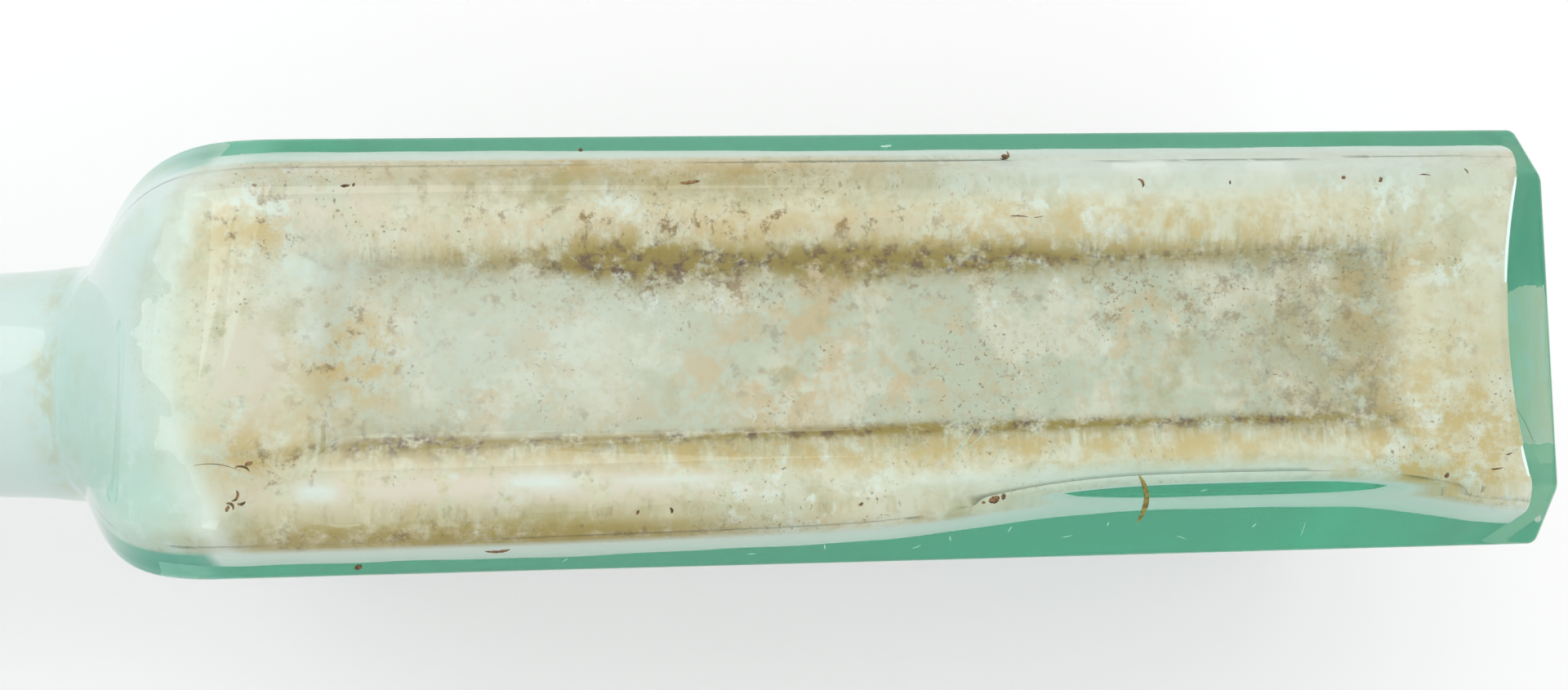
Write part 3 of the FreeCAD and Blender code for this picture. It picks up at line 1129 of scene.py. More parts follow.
PATCHES = (
    Patch(Deposit.GRIME, 38.0, 6.6, 32.0, 0.9, 0.9),
    Patch(Deposit.GRIME, 18.6, 6.9, 4.5, 1.8, 1.0),
    Patch(Deposit.GRIME, 23.0, 6.4, 5.0, 1.3, 1.0),
    Patch(Deposit.GRIME, 35.0, 6.2, 5.0, 1.6, 1.0),
    Patch(Deposit.GRIME, 46.0, 6.4, 5.0, 1.2, 0.9),
    Patch(Deposit.GRIME, 24.0, -6.9, 30.0, 0.5, 1.0, 0.012),
    Patch(Deposit.GRIME, 3.0, -7.0, 5.0, 1.0, 0.8),
    Patch(Deposit.GRIME, 56.0, -6.5, 20.0, 0.55, 1.0, 0.004),
    Patch(Deposit.TAN, 32.0, 7.6, 30.0, 1.6, 1.0),
    Patch(Deposit.TAN, 48.0, -8.3, 28.0, 1.3, 1.0),
    Patch(Deposit.TAN, 12.0, -8.0, 18.0, 0.8, 0.8),
    Patch(Deposit.TAN, 22.0, 13.0, 22.0, 1.2, 0.5),
    Patch(Deposit.TAN, 28.0, 9.8, 26.0, 1.3, 0.5),
    Patch(Deposit.TAN, -9.0, 9.3, 3.5, 2.5, 0.9),
    Patch(Deposit.TAN, -1.5, -0.5, 4.0, 4.5, 1.0),
    Patch(Deposit.TAN, -8.5, -7.0, 4.0, 3.0, 0.9),
    Patch(Deposit.TAN, 62.0, 9.0, 16.0, 2.0, 0.7),
    Patch(Deposit.TAN, 82.4, -6.1, 7.0, 6.0, 1.0),
    Patch(Deposit.TAN, 80.0, -10.5, 7.0, 2.5, 0.7),
    Patch(Deposit.TAN, -29.0, 0.0, 0.9, 9.0, 0.45),
    Patch(Deposit.TAN, -39.0, 2.2, 2.0, 0.8, 0.6),
    Patch(Deposit.PINK, 26.0, 9.2, 24.0, 1.0, 0.8),
    Patch(Deposit.PINK, -9.0, -3.0, 3.0, 8.0, 0.7),
    # Painted highlight: pink and white along the lower margin
    Patch(Deposit.PINK, 10.0, -10.0, 18.0, 1.6, 1.0),
    # Painted sheen: a lilac-pink iridescent sheen
    Patch(Deposit.PINK, -4.0, 10.5, 6.0, 2.5, 0.6),
    Patch(Deposit.SPECK, -8.5, 9.3, 3.5, 2.5, 1.0),
    Patch(Deposit.SPECK, -2.0, 0.0, 4.0, 5.0, 0.8),
    Patch(Deposit.SPECK, -6.0, -8.5, 4.0, 2.0, 0.8),
    Patch(Deposit.SPECK, 24.0, 9.6, 20.0, 1.3, 1.0),
    Patch(Deposit.SPECK, 30.0, 4.5, 24.0, 1.5, 0.7),
    Patch(Deposit.SPECK, 60.0, 3.0, 10.0, 3.0, 0.6),
    Patch(Deposit.BROWN, 24.0, 12.4, 20.0, 1.1, 0.45),
    Patch(Deposit.BROWN, 7.0, -13.2, 21.0, 1.6, 1.0),
    Patch(Deposit.BROWN, 34.0, 7.4, 28.0, 1.0, 0.5),
    Patch(Deposit.BROWN, 20.0, -8.0, 30.0, 1.0, 0.3),
    Patch(Deposit.BROWN, 78.0, -13.0, 6.0, 1.5, 0.4),
    # Painted glints: soft white spots
    Patch(Deposit.RIM_AND_GLINT, -4.0, -10.2, 1.6, 0.7, 0.9),
    Patch(Deposit.RIM_AND_GLINT, 12.5, -9.8, 2.4, 0.6, 0.9),
    Patch(Deposit.RIM_AND_GLINT, 22.0, -9.9, 4.0, 0.4, 0.6),
    Patch(Deposit.RIM_AND_GLINT, -4.5, 1.5, 1.0, 1.6, 0.6),
    # Painted shade: darker mint on the shoulder, towards its lower side
    Patch(Deposit.MINT_SHADE, -18.0, -11.0, 8.0, 6.0, 0.8),
    Patch(Deposit.MINT_SHADE, -23.0, -3.0, 4.0, 6.0, 0.4),
    Patch(Deposit.CREAM, -11.5, -1.0, 3.5, 9.0, 0.8),
    Patch(Deposit.CREAM, 30.0, 9.0, 26.0, 1.4, 0.7),
    Patch(Deposit.CREAM, 86.0, 0.0, 2.5, 11.0, 0.8),
    Patch(Deposit.MILK, 64.0, 13.2, 26.0, 2.0, 0.9),
    Patch(Deposit.MILK, -4.5, 6.5, 4.0, 2.5, 0.8),
    Patch(Deposit.MILK, 10.0, 0.5, 15.0, 5.5, 0.4),
    Patch(Deposit.MILK, 58.0, -10.3, 22.0, 1.0, 0.8),
)


@dataclass
class GlassBottle:
    """The blown bottle with its laid-on lip, one clear shell."""

    form: BottleForm
    seat: Seat
    lip_foot: float = 160.0
    lip_radius: float = 13.2
    lip_rounding: float = 1.1
    lip_sag: float = 0.15
    lip_draft: float = 0.15
    lip_seam: Ripple = Ripple(seed=21, depth=0.35, longest=40.0, shortest=9.0)

    def lip(self) -> list[np.ndarray]:
        """Make the rings of the lip.

        Returns:
            The rings, from its uneven lower edge over the mouth to the bore.
        """
        form = self.form
        angles = form.outer_angles
        top = form.glass_top
        neck, mouth = form.neck_radius, form.mouth_radius
        outer, turn = self.lip_radius, self.lip_rounding
        profile = [(neck + 0.02, 0.0), (neck + 0.5, 0.1), (outer - 2.2 * turn, self.lip_sag)]
        for angle in np.linspace(0.0, math.pi / 2, 6):
            rise = turn - turn * math.cos(angle) + self.lip_sag
            profile.append((outer - turn + turn * math.sin(angle), rise))
        rings = []
        for radius, rise in profile:
            ring = form.at_height(form.round_ring(radius, angles, 0.0), self.lip_foot)
            ring[:, 2] += rise + (self.lip_seam.at(ring) + self.lip_seam.depth) * 0.8
            rings.append(ring)
        over = []
        for angle in np.linspace(0.0, math.pi / 2, 7):
            radius = outer - self.lip_draft - turn + turn * math.cos(angle)
            over.append((radius, top - turn + turn * math.sin(angle)))
        over.append(((outer + mouth) / 2.0, top))
        for angle in np.linspace(0.0, math.pi / 2, 6):
            over.append((mouth + turn - turn * math.sin(angle), top - turn + turn * math.cos(angle)))
        rings += [form.at_height(form.round_ring(radius, angles, 0.0), height) for radius, height in over]
        return rings

    def build(self, finish: AquaGlass) -> bpy.types.Object:
        """Build and dress the shell.

        Args:
            finish: The glass.

        Returns:
            The piece.
        """
        form = self.form
        heights = list(form.body_heights(form.heel))
        heights += list(np.linspace(heights[-1], form.shoulder_top, 27)[1:])
        heights += list(np.linspace(form.shoulder_top, self.lip_foot - 0.2, 20)[1:])
        rings = form.underside() + [form.outside(height) for height in heights] + self.lip()
        clear = sum(len(ring) for ring in rings)
        bore_end = form.glass_top - self.lip_rounding - 0.4
        heights = list(np.linspace(bore_end, form.shoulder_top, 24))
        heights += list(np.linspace(form.shoulder_top, form.panel_head + 0.6, 25)[1:])
        heights += list(form.body_heights(form.floor_rim)[::-1][1:-1])
        rings += [form.inside(height) for height in heights] + form.inner_floor()
        piece = cover("bottle_glass_shell", rings, (True, True), self.seat)
        etching = np.concatenate([on_wall(form.upward(ring)) for ring in rings])
        etching[:clear] = 0.0
        etching *= smooth(form.shoulder_top, form.body_height, np.concatenate(rings)[:, 2])
        paint(piece, "etching", np.append(etching, [0.0, 0.0]))
        piece.data.materials.append(finish.make())
        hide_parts("bottle_glass", "applied_lip")
        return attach(piece, Body.BOTTLE.value)


@dataclass
class ResidueLining:
    """What has dried on the inside: an opaque deposit in the body and a haze above it."""

    form: BottleForm
    seat: Seat
    dry_gap: float = 0.12
    clinging_gap: float = -0.04
    edge_height: float = 105.6
    edge_bow: float = 6.0
    top: float = 153.4
    top_fray: float = 10.0
    # How far down the wide walls the upper side's deposit reaches
    wall_end: float = 20.3
    far_wall_end: float = 22.4
    far_wall_fall: float = 1.9
    far_wall_fade: tuple[float, float] = (35.0, 85.0)
    wall_fray: float = 0.8
    side_facing: float = 0.05
    upper_facing: float = 0.15
    # Where it clings: above its edge, later on the far and the near wall, and on part of the floor
    cling_lead: float = 5.5
    cling_run: float = 8.0
    cling_delays: tuple[float, float] = (0.4, 4.4)
    cloud_wander: float = 1.5
    flake_wander: float = 2.5
    flat_facing: float = 0.99
    corner_fade: tuple[float, float] = (-1.0, 0.4)
    corner_fray: float = 0.7
    corner_steps: tuple[float, float] = (8.0, 5.0)
    floor_span: tuple[float, float] = (-9.0, 4.5)
    # Heights between which the floor's deposit gives way to the walls'
    floor_heights: tuple[float, float] = (8.0, 5.0)
    wall_heights: tuple[float, float] = (6.0, 9.0)
    # Where teal shade is painted on the far and the near wall, below the shoulder
    shade_foot: tuple[float, float] = (94.0, 98.0)
    shade_head: tuple[float, float] = (107.0, 114.0)
    shade_span: tuple[float, float] = (13.0, 18.0)
    # Unevenness of the deposit
    cloud: Ripple = Ripple(seed=12, depth=1.0, longest=34.0, shortest=7.0)
    flake: Ripple = Ripple(seed=17, depth=1.0, longest=7.0, shortest=1.8, waves=24)
    patches: tuple[Patch, ...] = PATCHES

    @staticmethod
    def by_wall(points: np.ndarray, values: tuple[float | np.ndarray, float]) -> np.ndarray:
        """Return the first of two values at points of the far half, and the second on the near half."""
        return np.where(points[:, 1] > 0.0, values[0], values[1])

    def upper(self, ring: np.ndarray) -> np.ndarray:
        """Work out where the upper side's deposit lies, which reaches a little down the wide walls.

        Args:
            ring: The points of a ring.

        Returns:
            Shares from 0 on the rest of the walls to 1 on the upper side.
        """
        far = self.far_wall_end - self.far_wall_fall * smooth(*self.far_wall_fade, ring[:, 2])
        end = self.by_wall(ring, (far, self.wall_end)) + self.wall_fray * self.cloud.at(ring)
        return np.maximum(
            smooth(self.side_facing, self.upper_facing, self.form.upward(ring)),
            smooth(-0.5, 0.5, ring[:, 0] - end),
        )

    def cling(self, ring: np.ndarray) -> np.ndarray:
        """Work out where the deposit clings to the glass, in the corners and above its edge.

        Args:
            ring: The points of a ring.

        Returns:
            Shares from 0 where the deposit stands off the glass to 1 where it clings.
        """
        facing = self.form.upward(ring)
        flakes = self.flake.at(ring)
        walls = on_wall(facing)
        start = self.edge_at(ring) - self.cling_lead + self.by_wall(ring, self.cling_delays) * walls
        wander = self.cloud_wander * self.cloud.at(ring) + self.flake_wander * flakes
        above = smooth(start, start + self.cling_run, ring[:, 2] + wander * (1.0 - walls))
        flat = ring[facing > self.flat_facing, 1]
        near, far = (flat.min(), flat.max()) if len(flat) else (0.0, 0.0)
        past = np.maximum(ring[:, 1] - far, near - ring[:, 1])
        corner = smooth(*self.corner_fade, past + self.corner_fray * flakes) * smooth(-0.2, 0.0, facing)
        return np.maximum(self.upper(ring) * corner, above)

    def edge_at(self, points: np.ndarray) -> np.ndarray:
        """Return the height of the deposit's bowed upper edge at points."""
        return self.edge_height - self.edge_bow * (points[:, 1] / self.form.half_depth) ** 2

    def floor_rings(self) -> tuple[list[np.ndarray], list[np.ndarray]]:
        """Lay the deposit on the inner floor, where it clings in the middle and in the upper corners.

        Returns:
            The rings from the middle out, and how far their points belong to the upper side.
        """
        dry, close = self.form.inner_floor(self.dry_gap), self.form.inner_floor(self.clinging_gap)
        rings, uppers = [], []
        for step, (apart, tight) in enumerate(zip(dry, close)):
            inside = np.minimum(self.floor_span[1] - apart[:, 1], apart[:, 1] - self.floor_span[0])
            middle = smooth(-0.8, 0.8, inside + 0.5 * self.flake.at(apart))
            corners = self.cling(apart) * float(smooth(*self.corner_steps, np.array(step)))
            share = np.maximum(middle, corners)[:, None]
            rings.append(apart * (1.0 - share) + tight * share)
            uppers.append(self.upper(apart) * float(smooth(6.5, 2.5, np.array(step))))
        return rings[::-1], uppers[::-1]

    def weigh(self, points: np.ndarray, upper: np.ndarray, facing: np.ndarray) -> dict[Deposit, np.ndarray]:
        """Weigh every deposit, painted shade and glints included, at the lining's points.

        Args:
            points: The points, in the bottle's own millimetres.
            upper: How far each point belongs to the upper side.
            facing: How far each point faces up.

        Returns:
            The weights of each deposit.
        """
        along = self.seat.base / MM - points[:, 2]
        clouds = self.cloud.at(points)
        weights = {deposit: np.zeros(len(points)) for deposit in Deposit}
        for patch in self.patches:
            weights[patch.deposit] += patch.weigh(along, points[:, 1]) * upper
        around = (1.0 - upper) * smooth(*self.wall_heights, points[:, 2])
        floor = (1.0 - upper) * smooth(*self.floor_heights, points[:, 2])
        weights[Deposit.MILK] += floor
        weights[Deposit.CREAM] += floor * 0.9
        # Painted shade: darker teal on the upper part of the wide walls below the shoulder
        walls = on_wall(facing) * smooth(*self.shade_span, points[:, 0])
        foot = self.by_wall(points, self.shade_foot)
        head = self.by_wall(points, self.shade_head) + 1.5 * clouds
        shaded = smooth(foot, foot + 3.0, points[:, 2]) * smooth(head, head - 8.0, points[:, 2])
        weights[Deposit.SHADE] += walls * shaded
        weights[Deposit.TAN] += around * smooth(0.3, 0.8, clouds) * 0.8
        weights[Deposit.CREAM] += around * smooth(0.2, -0.5, clouds) * 0.8
        weights[Deposit.GRIME] += around * smooth(0.5, 0.9, self.cloud.at(points[:, ::-1])) * 0.7
        edge = self.edge_at(points)
        ragged = points[:, 2] + 1.2 * clouds
        weights[Deposit.BLOOM] += smooth(edge - 0.5, edge + 2.0, ragged)
        # A near-white rim along the deposit's edge, and near white down the upper side's walls
        border = smooth(edge - 2.5, edge - 0.5, ragged) * smooth(edge + 1.5, edge, ragged)
        weights[Deposit.RIM_AND_GLINT] += border * 0.7
        weights[Deposit.RIM_AND_GLINT] += smooth(0.5, 0.25, facing) * upper * (1.0 - weights[Deposit.BLOOM]) * 0.9
        return weights

    def build(self, finish: DriedResidue) -> bpy.types.Object:
        """Build and dress the deposit.

        Args:
            finish: The deposit's finish.

        Returns:
            The piece.
        """
        form = self.form
        heights = list(form.body_heights(form.floor_rim))
        heights += list(np.linspace(heights[-1], form.shoulder_top, 25)[1:])
        heights += list(np.linspace(form.shoulder_top, self.top, 18)[1:])
        rings, uppers = self.floor_rings()
        panels = [np.zeros(len(ring)) for ring in rings]
        for height in heights[1:]:
            plain = form.inside(height)
            gap = self.dry_gap + (self.clinging_gap - self.dry_gap) * self.cling(plain)
            ring = form.inside(height, gap)
            fray = float(smooth(self.top - self.top_fray, self.top, np.array(height)))
            ring[:, 2] -= fray * (1.0 + self.flake.at(ring * (1.0, 1.0, 0.0)))
            rings.append(ring)
            uppers.append(self.upper(plain))
            panels.append(form.panel_depth(plain[:, :2], height, 1.1))
        piece = cover("residue_lining_film", rings, (True, False), self.seat)
        points = np.vstack([np.concatenate(rings), rings[0].mean(axis=0)])
        facing = np.concatenate([form.upward(ring) for ring in rings])
        weights = self.weigh(points, np.append(np.concatenate(uppers), 0.0), np.append(facing, 0.0))
        panel = np.append(np.concatenate(panels), 0.0)
        weights[Deposit.PANEL] = panel * (0.95 - 0.25 * smooth(20.0, 95.0, points[:, 2]))
        weights[Deposit.GRIME] += panel * smooth(28.0, 15.0, points[:, 2]) * 0.42
        weights[Deposit.SLOPE] = 4.0 * panel * (1.0 - panel) * smooth(4.5, 6.0, np.abs(points[:, 1]))
        for deposit, values in weights.items():
            paint(piece, deposit.value, np.clip(values, 0.0, 1.0))
        piece.data.materials.append(finish.make())
        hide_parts("residue_lining")
        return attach(piece, Body.BOTTLE.value)


@dataclass
class CorkStopper:
    """The tapered cork in the mouth, cut from bark with its pores across it."""

    seat: Seat
    node: str = "cork_stopper"
    taper: float = 1.0 / 30.0
    chamfer: float = 0.7
    around: int = 128
    pit_depth: float = 0.35
    pits: Ripple = Ripple(seed=31, depth=0.35, longest=5.0, shortest=1.1, waves=16)

    def profile(self, foot: float, top: float, radius: float) -> list[tuple[float, float]]:
        """Trace the cork's half section.

        Args:
            foot: The height of its narrow end.
            top: The height of its wide end.
            radius: The radius of its wide end.

        Returns:
            The radius and the height of each ring, from the middle of the narrow end.
        """
        narrow = radius - self.taper * (top - foot) - self.chamfer
        rings = [(share * narrow, foot) for share in np.linspace(0.0, 1.0, 10)[1:]]
        for height in np.linspace(foot + self.chamfer, top - self.chamfer, 60):
            rings.append((radius - self.taper * (top - height), height))
        return rings + [(share * (radius - self.chamfer), top) for share in np.linspace(1.0, 0.0, 14)[:-1]]

    def build(self, finish: AgedCork) -> bpy.types.Object:
        """Build and dress the cork.

        Args:
            finish: The cork's finish.

        Returns:
            The piece.
        """
        low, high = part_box(self.node)
        top = (self.seat.base - low.x) / MM
        foot = (self.seat.base - high.x) / MM
        radius = (high.y - low.y) / 2.0 / MM
        middle = (top + foot) / 2.0
        angles = np.linspace(0.0, 2.0 * math.pi, self.around, endpoint=False)
        rings = []
        for ring_radius, height in self.profile(foot, top, radius):
            ring = np.column_stack([
                ring_radius * np.cos(angles), ring_radius * np.sin(angles), np.full(self.around, height)
            ])
            pit = smooth(0.08, 0.3, self.pits.at(ring * (1.0, 1.0, 0.6))) * self.pit_depth
            ring[:, :2] *= (1.0 - pit / max(ring_radius, 3.0))[:, None]
            ring[:, 2] -= np.sign(height - middle) * pit * (ring_radius < radius - self.chamfer * 0.9)
            rings.append(ring)
        piece = cover("cork_stopper_bark", rings, (True, True), self.seat)
        piece.data.materials.append(finish.make())
        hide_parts(self.node)
        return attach(piece, Body.CORK.value)


@dataclass(frozen=True)
class Crumb:
    """A crumb, curl or fibre on the upper side.

    Attributes:
        along: World X of its middle, in millimetres.
        across: World Y of its middle, in millimetres.
        length: Its length, in millimetres.
        width: Its width, in millimetres.
        heading: Its heading from X in its middle, in degrees.
        bend: How far it turns from end to end, in degrees.
    """

    along: float
    across: float
    length: float
    width: float
    heading: float
    bend: float = 0.0

    def spine(self, count: int) -> np.ndarray:
        """Trace its middle line.

        Args:
            count: How many points it has.

        Returns:
            World X and Y of each point, in millimetres, and the heading there.
        """
        share = np.linspace(-0.5, 0.5, count)
        headings = np.radians(self.heading + self.bend * share)
        step = self.length / (count - 1)
        path = np.cumsum(np.stack([np.cos(headings), np.sin(headings)], axis=-1), axis=0) * step
        path += (self.along, self.across) - path[count // 2]
        return np.column_stack([path, headings])


@dataclass
class SurfaceDirt:
    """Small things that cling to the outside of the glass."""

    glass: bpy.types.Object
    ceiling: float
    name: str
    crumbs: tuple[Crumb, ...]
    seed: int = 44
    stations: int = 13
    around: int = 10
    flatness: float = 0.6
    roughness: float = 0.35
    thinnest: float = 0.01
    thickest: float = 0.16
    drop_height: float = 100.0
    tree: BVHTree = field(init=False)

    def __post_init__(self) -> None:
        """Get the glass ready for things to be dropped on it."""
        self.tree = BVHTree.FromObject(self.glass, bpy.context.evaluated_depsgraph_get())

    def drop(self, along: float, across: float) -> float:
        """Find how high a thing dropped on the glass from above comes to rest.

        Args:
            along: World X, in millimetres.
            across: World Y, in millimetres.

        Returns:
            The height of the glass, in millimetres.
        """
        start = Vector((along * MM, across * MM, self.drop_height * MM))
        spot = self.tree.ray_cast(start, Vector((0.0, 0.0, -1.0)))[0]
        return spot.z / MM if spot else 0.0

    def loft(self, crumb: Crumb, rng: np.random.Generator) -> tuple[np.ndarray, list[list[int]]]:
        """Shape one crumb as a bent, tapered and uneven roll.

        Args:
            crumb: The crumb.
            rng: The source of its unevenness.

        Returns:
            Its points in metres, and its faces.
        """
        angles = np.linspace(0.0, 2.0 * math.pi, self.around, endpoint=False)
        shares = np.linspace(-1.0, 1.0, self.stations)
        rings = []
        for share, (along, across, heading) in zip(shares, crumb.spine(self.stations)):
            half = max(crumb.width / 2.0 * (1.0 - share * share) ** 0.6, self.thinnest)
            uneven = 1.0 + self.roughness * rng.uniform(-1.0, 1.0, self.around)
            side = half * uneven * np.cos(angles)
            lift = min(half, self.thickest) * self.flatness * uneven * (0.7 + np.sin(angles))
            x, y = along - side * math.sin(heading), across + side * math.cos(heading)
            rings.append(np.column_stack([x, y, self.drop(along, across) + lift]))
        points = np.concatenate(rings) * MM
        points[:, 2] = np.minimum(points[:, 2], self.ceiling)
        here = np.arange(len(points)).reshape(self.stations, self.around)
        return points, strips(here) + [here[0].tolist()[::-1], here[-1].tolist()]

    def build(self, finish: DryDirt) -> bpy.types.Object:
        """Build and dress the crumbs.

        Args:
            finish: The dirt's finish.

        Returns:
            The piece.
        """
        rng = np.random.default_rng(self.seed)
        points: list[list[float]] = []
        faces: list[list[int]] = []
        for crumb in self.crumbs:
            more, sides = self.loft(crumb, rng)
            faces += [[index + len(points) for index in side] for side in sides]
            points += more.tolist()
        piece = new_piece(self.name, points, faces)
        piece.data.materials.append(finish.make())
        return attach(piece, Body.BOTTLE.value)


CRUMBS = (
    Crumb(-1.5, 12.2, 0.7, 0.22, 5.0, 30.0),
    Crumb(-0.9, 12.3, 0.3, 0.2, 80.0),
    Crumb(23.8, 12.2, 1.6, 0.25, 5.0, 20.0),
    Crumb(15.6, 15.2, 0.35, 0.3, 0.0),
    Crumb(48.2, 14.2, 1.3, 0.2, 40.0, 150.0),
    Crumb(48.0, 14.3, 0.5, 0.3, 0.0),
    Crumb(58.2, 11.9, 0.9, 0.2, 110.0, 120.0),
    Crumb(48.6, 9.4, 1.5, 0.1, 175.0, 20.0),
    Crumb(50.1, 9.3, 0.8, 0.08, 190.0),
    Crumb(46.0, -11.9, 0.9, 0.5, 20.0, 20.0),
    Crumb(46.7, -11.7, 0.5, 0.3, 80.0, 60.0),
    Crumb(45.2, -12.1, 0.3, 0.2, 0.0),
    Crumb(-8.8, -8.2, 1.2, 0.16, 160.0, 90.0),
    Crumb(-8.4, -8.0, 0.6, 0.3, 20.0),
    Crumb(-10.6, -8.0, 3.4, 0.06, 170.0, 40.0),
    Crumb(-9.2, -10.4, 1.1, 0.2, 60.0, 140.0),
    Crumb(-9.6, -10.9, 0.9, 0.18, 130.0, 160.0),
    Crumb(-8.9, -10.9, 0.7, 0.2, 10.0, 100.0),
    Crumb(-9.9, -11.2, 0.5, 0.25, 70.0),
    Crumb(9.1, -14.9, 1.9, 0.2, 2.0, 25.0),
    Crumb(-1.2, -15.8, 0.6, 0.4, 10.0, 60.0),
    Crumb(76.9, 11.9, 0.5, 0.25, 60.0, 90.0),
    Crumb(74.0, 12.1, 0.35, 0.25, 0.0),
    Crumb(80.5, 12.3, 0.9, 0.1, 175.0, 30.0),
    Crumb(84.0, 12.6, 0.5, 0.12, 100.0, 60.0),
    Crumb(81.0, -10.9, 0.5, 0.3, 40.0, 60.0),
    Crumb(85.0, -10.5, 1.0, 0.12, 5.0, 20.0),
    Crumb(86.0, -9.4, 0.6, 0.12, 10.0, 60.0),
    Crumb(65.0, 11.8, 0.3, 0.15, 90.0),
    Crumb(36.0, -12.0, 0.4, 0.2, 30.0, 40.0),
    Crumb(22.0, -12.1, 0.5, 0.2, 100.0, 90.0),
    Crumb(19.5, -12.2, 0.4, 0.2, 60.0),
)
SCRATCHES = (
    Crumb(44.0, -7.6, 3.0, 0.05, 48.0, 15.0),
    Crumb(45.2, -7.2, 2.6, 0.04, 42.0, 10.0),
    Crumb(46.4, -8.6, 2.0, 0.04, 55.0, 10.0),
    Crumb(40.5, -15.4, 0.7, 0.06, 20.0, 30.0),
    Crumb(43.0, -14.8, 0.4, 0.09, 110.0),
    Crumb(47.5, -14.2, 0.5, 0.07, 60.0),
    Crumb(52.0, -14.9, 0.8, 0.06, 10.0, 20.0),
    Crumb(55.0, -14.0, 0.3, 0.09, 80.0),
    Crumb(61.0, -15.2, 0.9, 0.06, 160.0, 20.0),
    Crumb(66.5, -14.4, 0.4, 0.08, 45.0),
    Crumb(70.5, -14.8, 1.0, 0.05, 85.0, 20.0),
    Crumb(28.0, -15.6, 0.6, 0.06, 5.0),
    Crumb(14.0, -15.7, 0.5, 0.06, 30.0),
    Crumb(33.5, -15.2, 0.4, 0.08, 100.0),
    Crumb(39.0, 15.3, 0.9, 0.2, 5.0, 30.0),
    Crumb(62.0, -11.6, 0.5, 0.05, 15.0),
)
STALK = (Crumb(57.6, -12.1, 3.9, 0.42, 91.0, 58.0),)


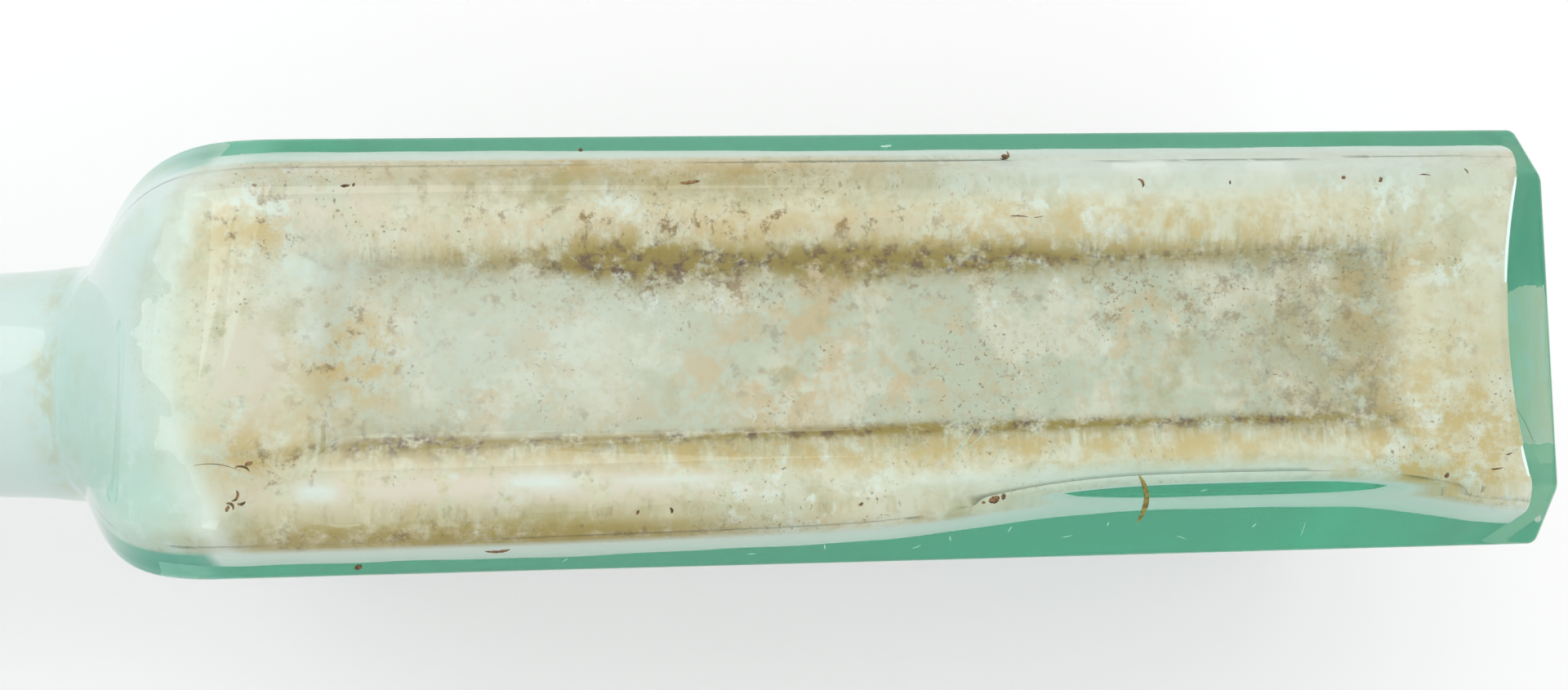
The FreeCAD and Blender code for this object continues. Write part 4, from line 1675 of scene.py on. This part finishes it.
@dataclass(frozen=True)
class Studio:
    """A pale floor, plain soft light and the camera above."""

    floor_drop: float = 0.0002
    floor_size: float = 6.0
    floor_tone: Colour = rgb(0.93, 0.93, 0.935)
    sky: float = 0.92
    backdrop: float = 1.25
    glow: float = 0.34
    key_power: float = 8.5
    key_size: float = 1.2
    key_place: tuple[float, float, float] = (-0.5, 0.85, 1.15)
    lens: float = 39.073
    nearest: float = 0.005
    camera_place: tuple[float, float, float] = (0.020502, -0.0089545, 0.182713)
    camera_turn: tuple[float, float, float] = (0.07204711, -0.07797734, -0.0227523)
    bounces: int = 24

    @staticmethod
    def seen_rays(tree: bpy.types.NodeTree) -> bpy.types.NodeSocket:
        """Tell the rays that show a surface, straight or through glass, from those that light one.

        Args:
            tree: The tree to add the nodes to.

        Returns:
            1 for rays that show a surface, 0 for the others.
        """
        path = tree.nodes.new("ShaderNodeLightPath")
        result = path.outputs["Is Camera Ray"]
        for ray in ("Is Glossy Ray", "Is Transmission Ray"):
            either = tree.nodes.new("ShaderNodeMath")
            either.operation = "MAXIMUM"
            tree.links.new(result, either.inputs[0])
            tree.links.new(path.outputs[ray], either.inputs[1])
            result = either.outputs[0]
        return result

    def lay_floor(self) -> None:
        """Lay the floor just under the bottle."""
        half = self.floor_size / 2.0
        corners = [(x * half, y * half, -self.floor_drop) for x, y in ((-1, -1), (1, -1), (1, 1), (-1, 1))]
        floor = new_piece("floor", corners, [(0, 1, 2, 3)])
        bench = Bench("pale_floor")
        surface = {"Base Color": self.floor_tone, "Roughness": 0.8, "Specular IOR Level": 0.0}
        floor.data.materials.append(bench.finish(surface))
        white = bench.add("ShaderNodeEmission", {"Color": rgb(1.0, 1.0, 1.0), "Strength": 1.0})
        share = bench.sum("MULTIPLY", self.seen_rays(bench.tree), self.glow)
        out = bench.tree.nodes["Material Output"]
        matte = out.inputs["Surface"].links[0].from_socket
        lifted = bench.add("ShaderNodeMixShader", {0: share, 1: matte, 2: white.outputs[0]})
        bench.tree.links.new(lifted.outputs[0], out.inputs["Surface"])

    def light(self) -> None:
        """Set up the even sky and one large soft lamp."""
        world = bpy.data.worlds.new("even_sky")
        world.use_nodes = True
        tree = world.node_tree
        seen = tree.nodes.new("ShaderNodeMapRange")
        seen.inputs["To Min"].default_value = self.sky
        seen.inputs["To Max"].default_value = self.backdrop
        tree.links.new(self.seen_rays(tree), seen.inputs["Value"])
        tree.nodes["Background"].inputs["Color"].default_value = rgb(1.0, 1.0, 1.0)
        tree.links.new(seen.outputs["Result"], tree.nodes["Background"].inputs["Strength"])
        bpy.context.scene.world = world
        lamp = bpy.data.lights.new("soft_key", "AREA")
        lamp.energy = self.key_power
        lamp.size = self.key_size
        key = bpy.data.objects.new("soft_key", lamp)
        key.location = self.key_place
        key.rotation_euler = (-Vector(self.key_place)).to_track_quat("-Z", "Y").to_euler()
        bpy.context.scene.collection.objects.link(key)

    def aim(self) -> None:
        """Set up the camera and how light is followed through the glass."""
        scene = bpy.context.scene
        data = bpy.data.cameras.new("camera")
        data.lens = self.lens
        data.sensor_fit = "HORIZONTAL"
        data.clip_start = self.nearest
        camera = bpy.data.objects.new("camera", data)
        camera.location = self.camera_place
        camera.rotation_euler = self.camera_turn
        scene.collection.objects.link(camera)
        scene.camera = camera
        scene.view_settings.view_transform = "Standard"
        cycles = scene.cycles
        for name in ("max_bounces", "transmission_bounces", "glossy_bounces", "transparent_max_bounces"):
            setattr(cycles, name, self.bounces)
        cycles.diffuse_bounces = self.bounces // 2


def main() -> None:
    """Build every piece in order and set the scene round them."""
    logging.basicConfig(level=logging.INFO, format="%(name)s: %(message)s")
    seat = Seat.of_node("bottle_glass")
    form = BottleForm()
    shell = GlassBottle(form, seat).build(AquaGlass())
    pieces = [
        shell,
        ResidueLining(form, seat).build(DriedResidue()),
        CorkStopper(seat).build(AgedCork()),
        SurfaceDirt(shell, cad_box[1].z, "surface_crumbs", CRUMBS).build(DryDirt()),
        SurfaceDirt(shell, cad_box[1].z, "surface_stalk", STALK, roughness=0.1).build(DRY_STALK),
        SurfaceDirt(shell, cad_box[1].z, "surface_scratches", SCRATCHES, flatness=0.2).build(SCUFFS),
    ]
    studio = Studio()
    studio.lay_floor()
    studio.light()
    studio.aim()


if __name__ == "__main__":
    main()
